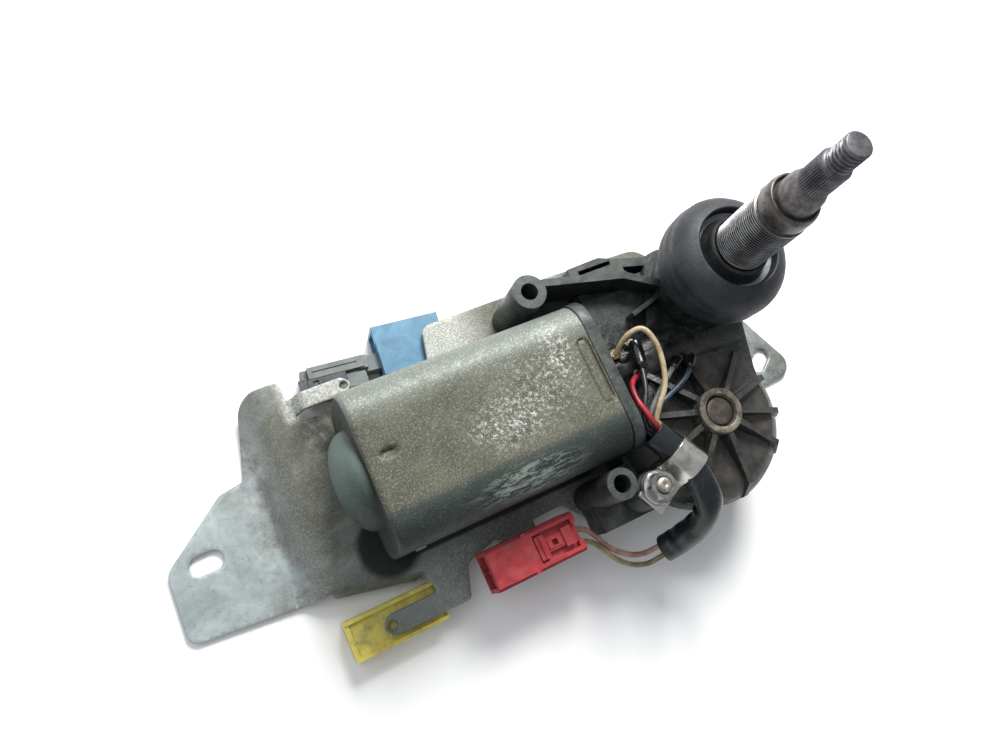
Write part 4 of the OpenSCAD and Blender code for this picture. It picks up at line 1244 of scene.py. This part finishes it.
# ---- connectors
RED_AT, GREY_AT = (-108, -68, 11.5), (-139, 16.8, 1)


def moulded(name, add, cut, origin, deg, material, replaced, edge=0.35):
    soften(finish_mesh(name, carve(add, cut, origin, deg), material, 32, (replaced,)), edge, 3)


# Red: body with two sockets at its left end, a deep latch recess and wire entries at the right
moulded("red_plug",
        [(0, 33, 0, 14, 0, 12.6), (0, 33, 0.9, 13.1, 0, 14), (13.4, 15.2, 0, 14, 0, 14),
         (30.6, 33, 0.4, 13.6, 0, 13.4)],
        [(-1, 11, 1.5, 6.4, 1.5, 10.5), (-1, 11, 7.6, 12.5, 1.5, 10.5), (-1, 2.2, 6.2, 7.8, 3, 9),
         (16.6, 31.2, 2.2, 11.8, 11.4, 15), (28.6, 34, 4, 10, 11.4, 15),
         (2, 12.5, 13.5, 15, 4, 9.5), (17, 30, 13.5, 15, 3, 10), (17, 30, -1, 0.5, 3, 10),
         (31, 34, 1.6, 6.2, 5.5, 10.5), (31, 34, 7.8, 12.4, 5.5, 10.5)],
        RED_AT, 0, "plastic_red", "red_connector")
moulded("red_latch_arm",
        [(17.0, 30.4, 4.6, 9.4, 11.6, 13.2), (17.0, 20.4, 3.0, 11.0, 11.5, 13.9),
         (26.8, 30.4, 3.8, 10.2, 12.2, 14), (21, 26, 5.4, 8.6, 13, 13.6)],
        [(22.6, 24.6, 6.0, 8.0, 11, 15), (17.6, 18.6, 2, 12, 13.4, 15)],
        RED_AT, 0, "plastic_red", "red_latch", 0.25)

# Yellow: low translucent body clipped under the bracket's near tongue
moulded("yellow_plug",
        [(0, 32.5, 0, 13.5, 0, 8.1), (0, 32.5, 0, 1.2, 8, 9.3), (0, 32.5, 12.0, 13.2, 8, 9.6),
         (0, 1.6, 0, 13.5, 8, 9.0), (9, 17.5, 1, 12.5, 7.4, 8.35), (8, 10, 0, 13.5, 1, 8.2),
         (18, 20, 0, 13.5, 1, 8.2)],
        [(29.5, 33.6, 3, 10.5, 1.4, 6.4), (-1, 4.5, 2, 6, 2, 7), (-1, 4.5, 7.4, 11.5, 2, 7),
         (12, 16.6, -1, 0.8, 2.4, 6.4), (22, 26.6, -1, 0.8, 2.4, 6.4), (12, 26, 12.7, 14, 3, 7),
         (31, 33, 1.2, 12, 7.6, 9.8)],
        (-156, -69, 0.6), 0, "plastic_yellow", "yellow_connector")

# Blue: two smooth levels, a side recess and a hollow mouth that takes the grey plug
moulded("blue_plug",
        [(0, 25, 0, 18.5, 0, 9.9), (0, 25, 0, 12.4, 9, 11.2), (-0.3, 0.6, 0.4, 18.1, 0.4, 9.6)],
        [(-1, 12, 3, 13.5, 1.6, 9.1), (-1, 1.4, 1.4, 16.6, 1.0, 9.3), (4, 21, 17.9, 19, 2, 7),
         (23.6, 26, 3, 7.4, 2, 7), (23.6, 26, 10, 14, 2, 7)],
        (-111, 15.5, 0.6), -6, "plastic_blue", "blue_connector", 0.6)

# Grey: stepped body beside the bracket's far tongue, nose plugged into the blue one
moulded("grey_plug",
        [(0, 22, 0, 11, 0, 7.6), (2.4, 22, 6.8, 11, 7, 10), (12, 22, 0.8, 5.6, 7, 9.4),
         (0.6, 3.4, 2, 4.6, 7, 9.2), (21, 31, 5.2, 11, 1.5, 7.5), (20.6, 23.4, 6.2, 11, 7, 9.4)],
        [(5, 17, 10.4, 12, 2, 6.5), (-1, 3.5, 2, 5, 2, 6.5), (-1, 3.5, 6, 9.2, 2, 6.5),
         (4.0, 19.6, 8.6, 9.3, 9.6, 11), (19, 23, 5.0, 6.4, 8.8, 10)],
        GREY_AT, -6, "plastic_grey", "grey_connector", 0.5)
moulded("grey_latch",
        [(-1.5, 15, 3.4, 6.4, -1.6, 0.9), (-1.5, 1.5, 2.8, 7.0, -1.6, 1.2)],
        [(3.4, 5.2, 4.2, 5.6, 0.2, 3)],
        (*GREY_AT[:2], 11.02), -6, "latch_grey", "grey_latch_bar", 0.3)


# ---- edges of the CAD parts that show
for name in ("gear_housing", "housing_cover", "cover_screws", "bracket_screws", "connector_pins",
             "brush_plate", "spindle_lever", "connecting_link", "link_pin", "worm_wheel", "park_disc",
             "park_contacts"):
    weld = NODES[name].modifiers.new("weld", "WELD")
    weld.merge_threshold = 0.02 * MM
    soften(NODES[name], 0.45 if name == "gear_housing" else 0.2, 2, 40)


# ---- floor
def floor():
    bm = bmesh.new()
    bmesh.ops.create_grid(bm, x_segments=2, y_segments=2, size=4)
    obj = as_object("floor", bm)
    obj.location = (0, 0, -0.1 * MM)
    paint = Paint("floor_paint")
    paint.set(paint.mix(paint.noise(3), (0.9, 0.9, 0.9, 1), (0.93, 0.93, 0.93, 1)), 0.8, 0.0)
    obj.data.materials.append(paint.mat)


floor()
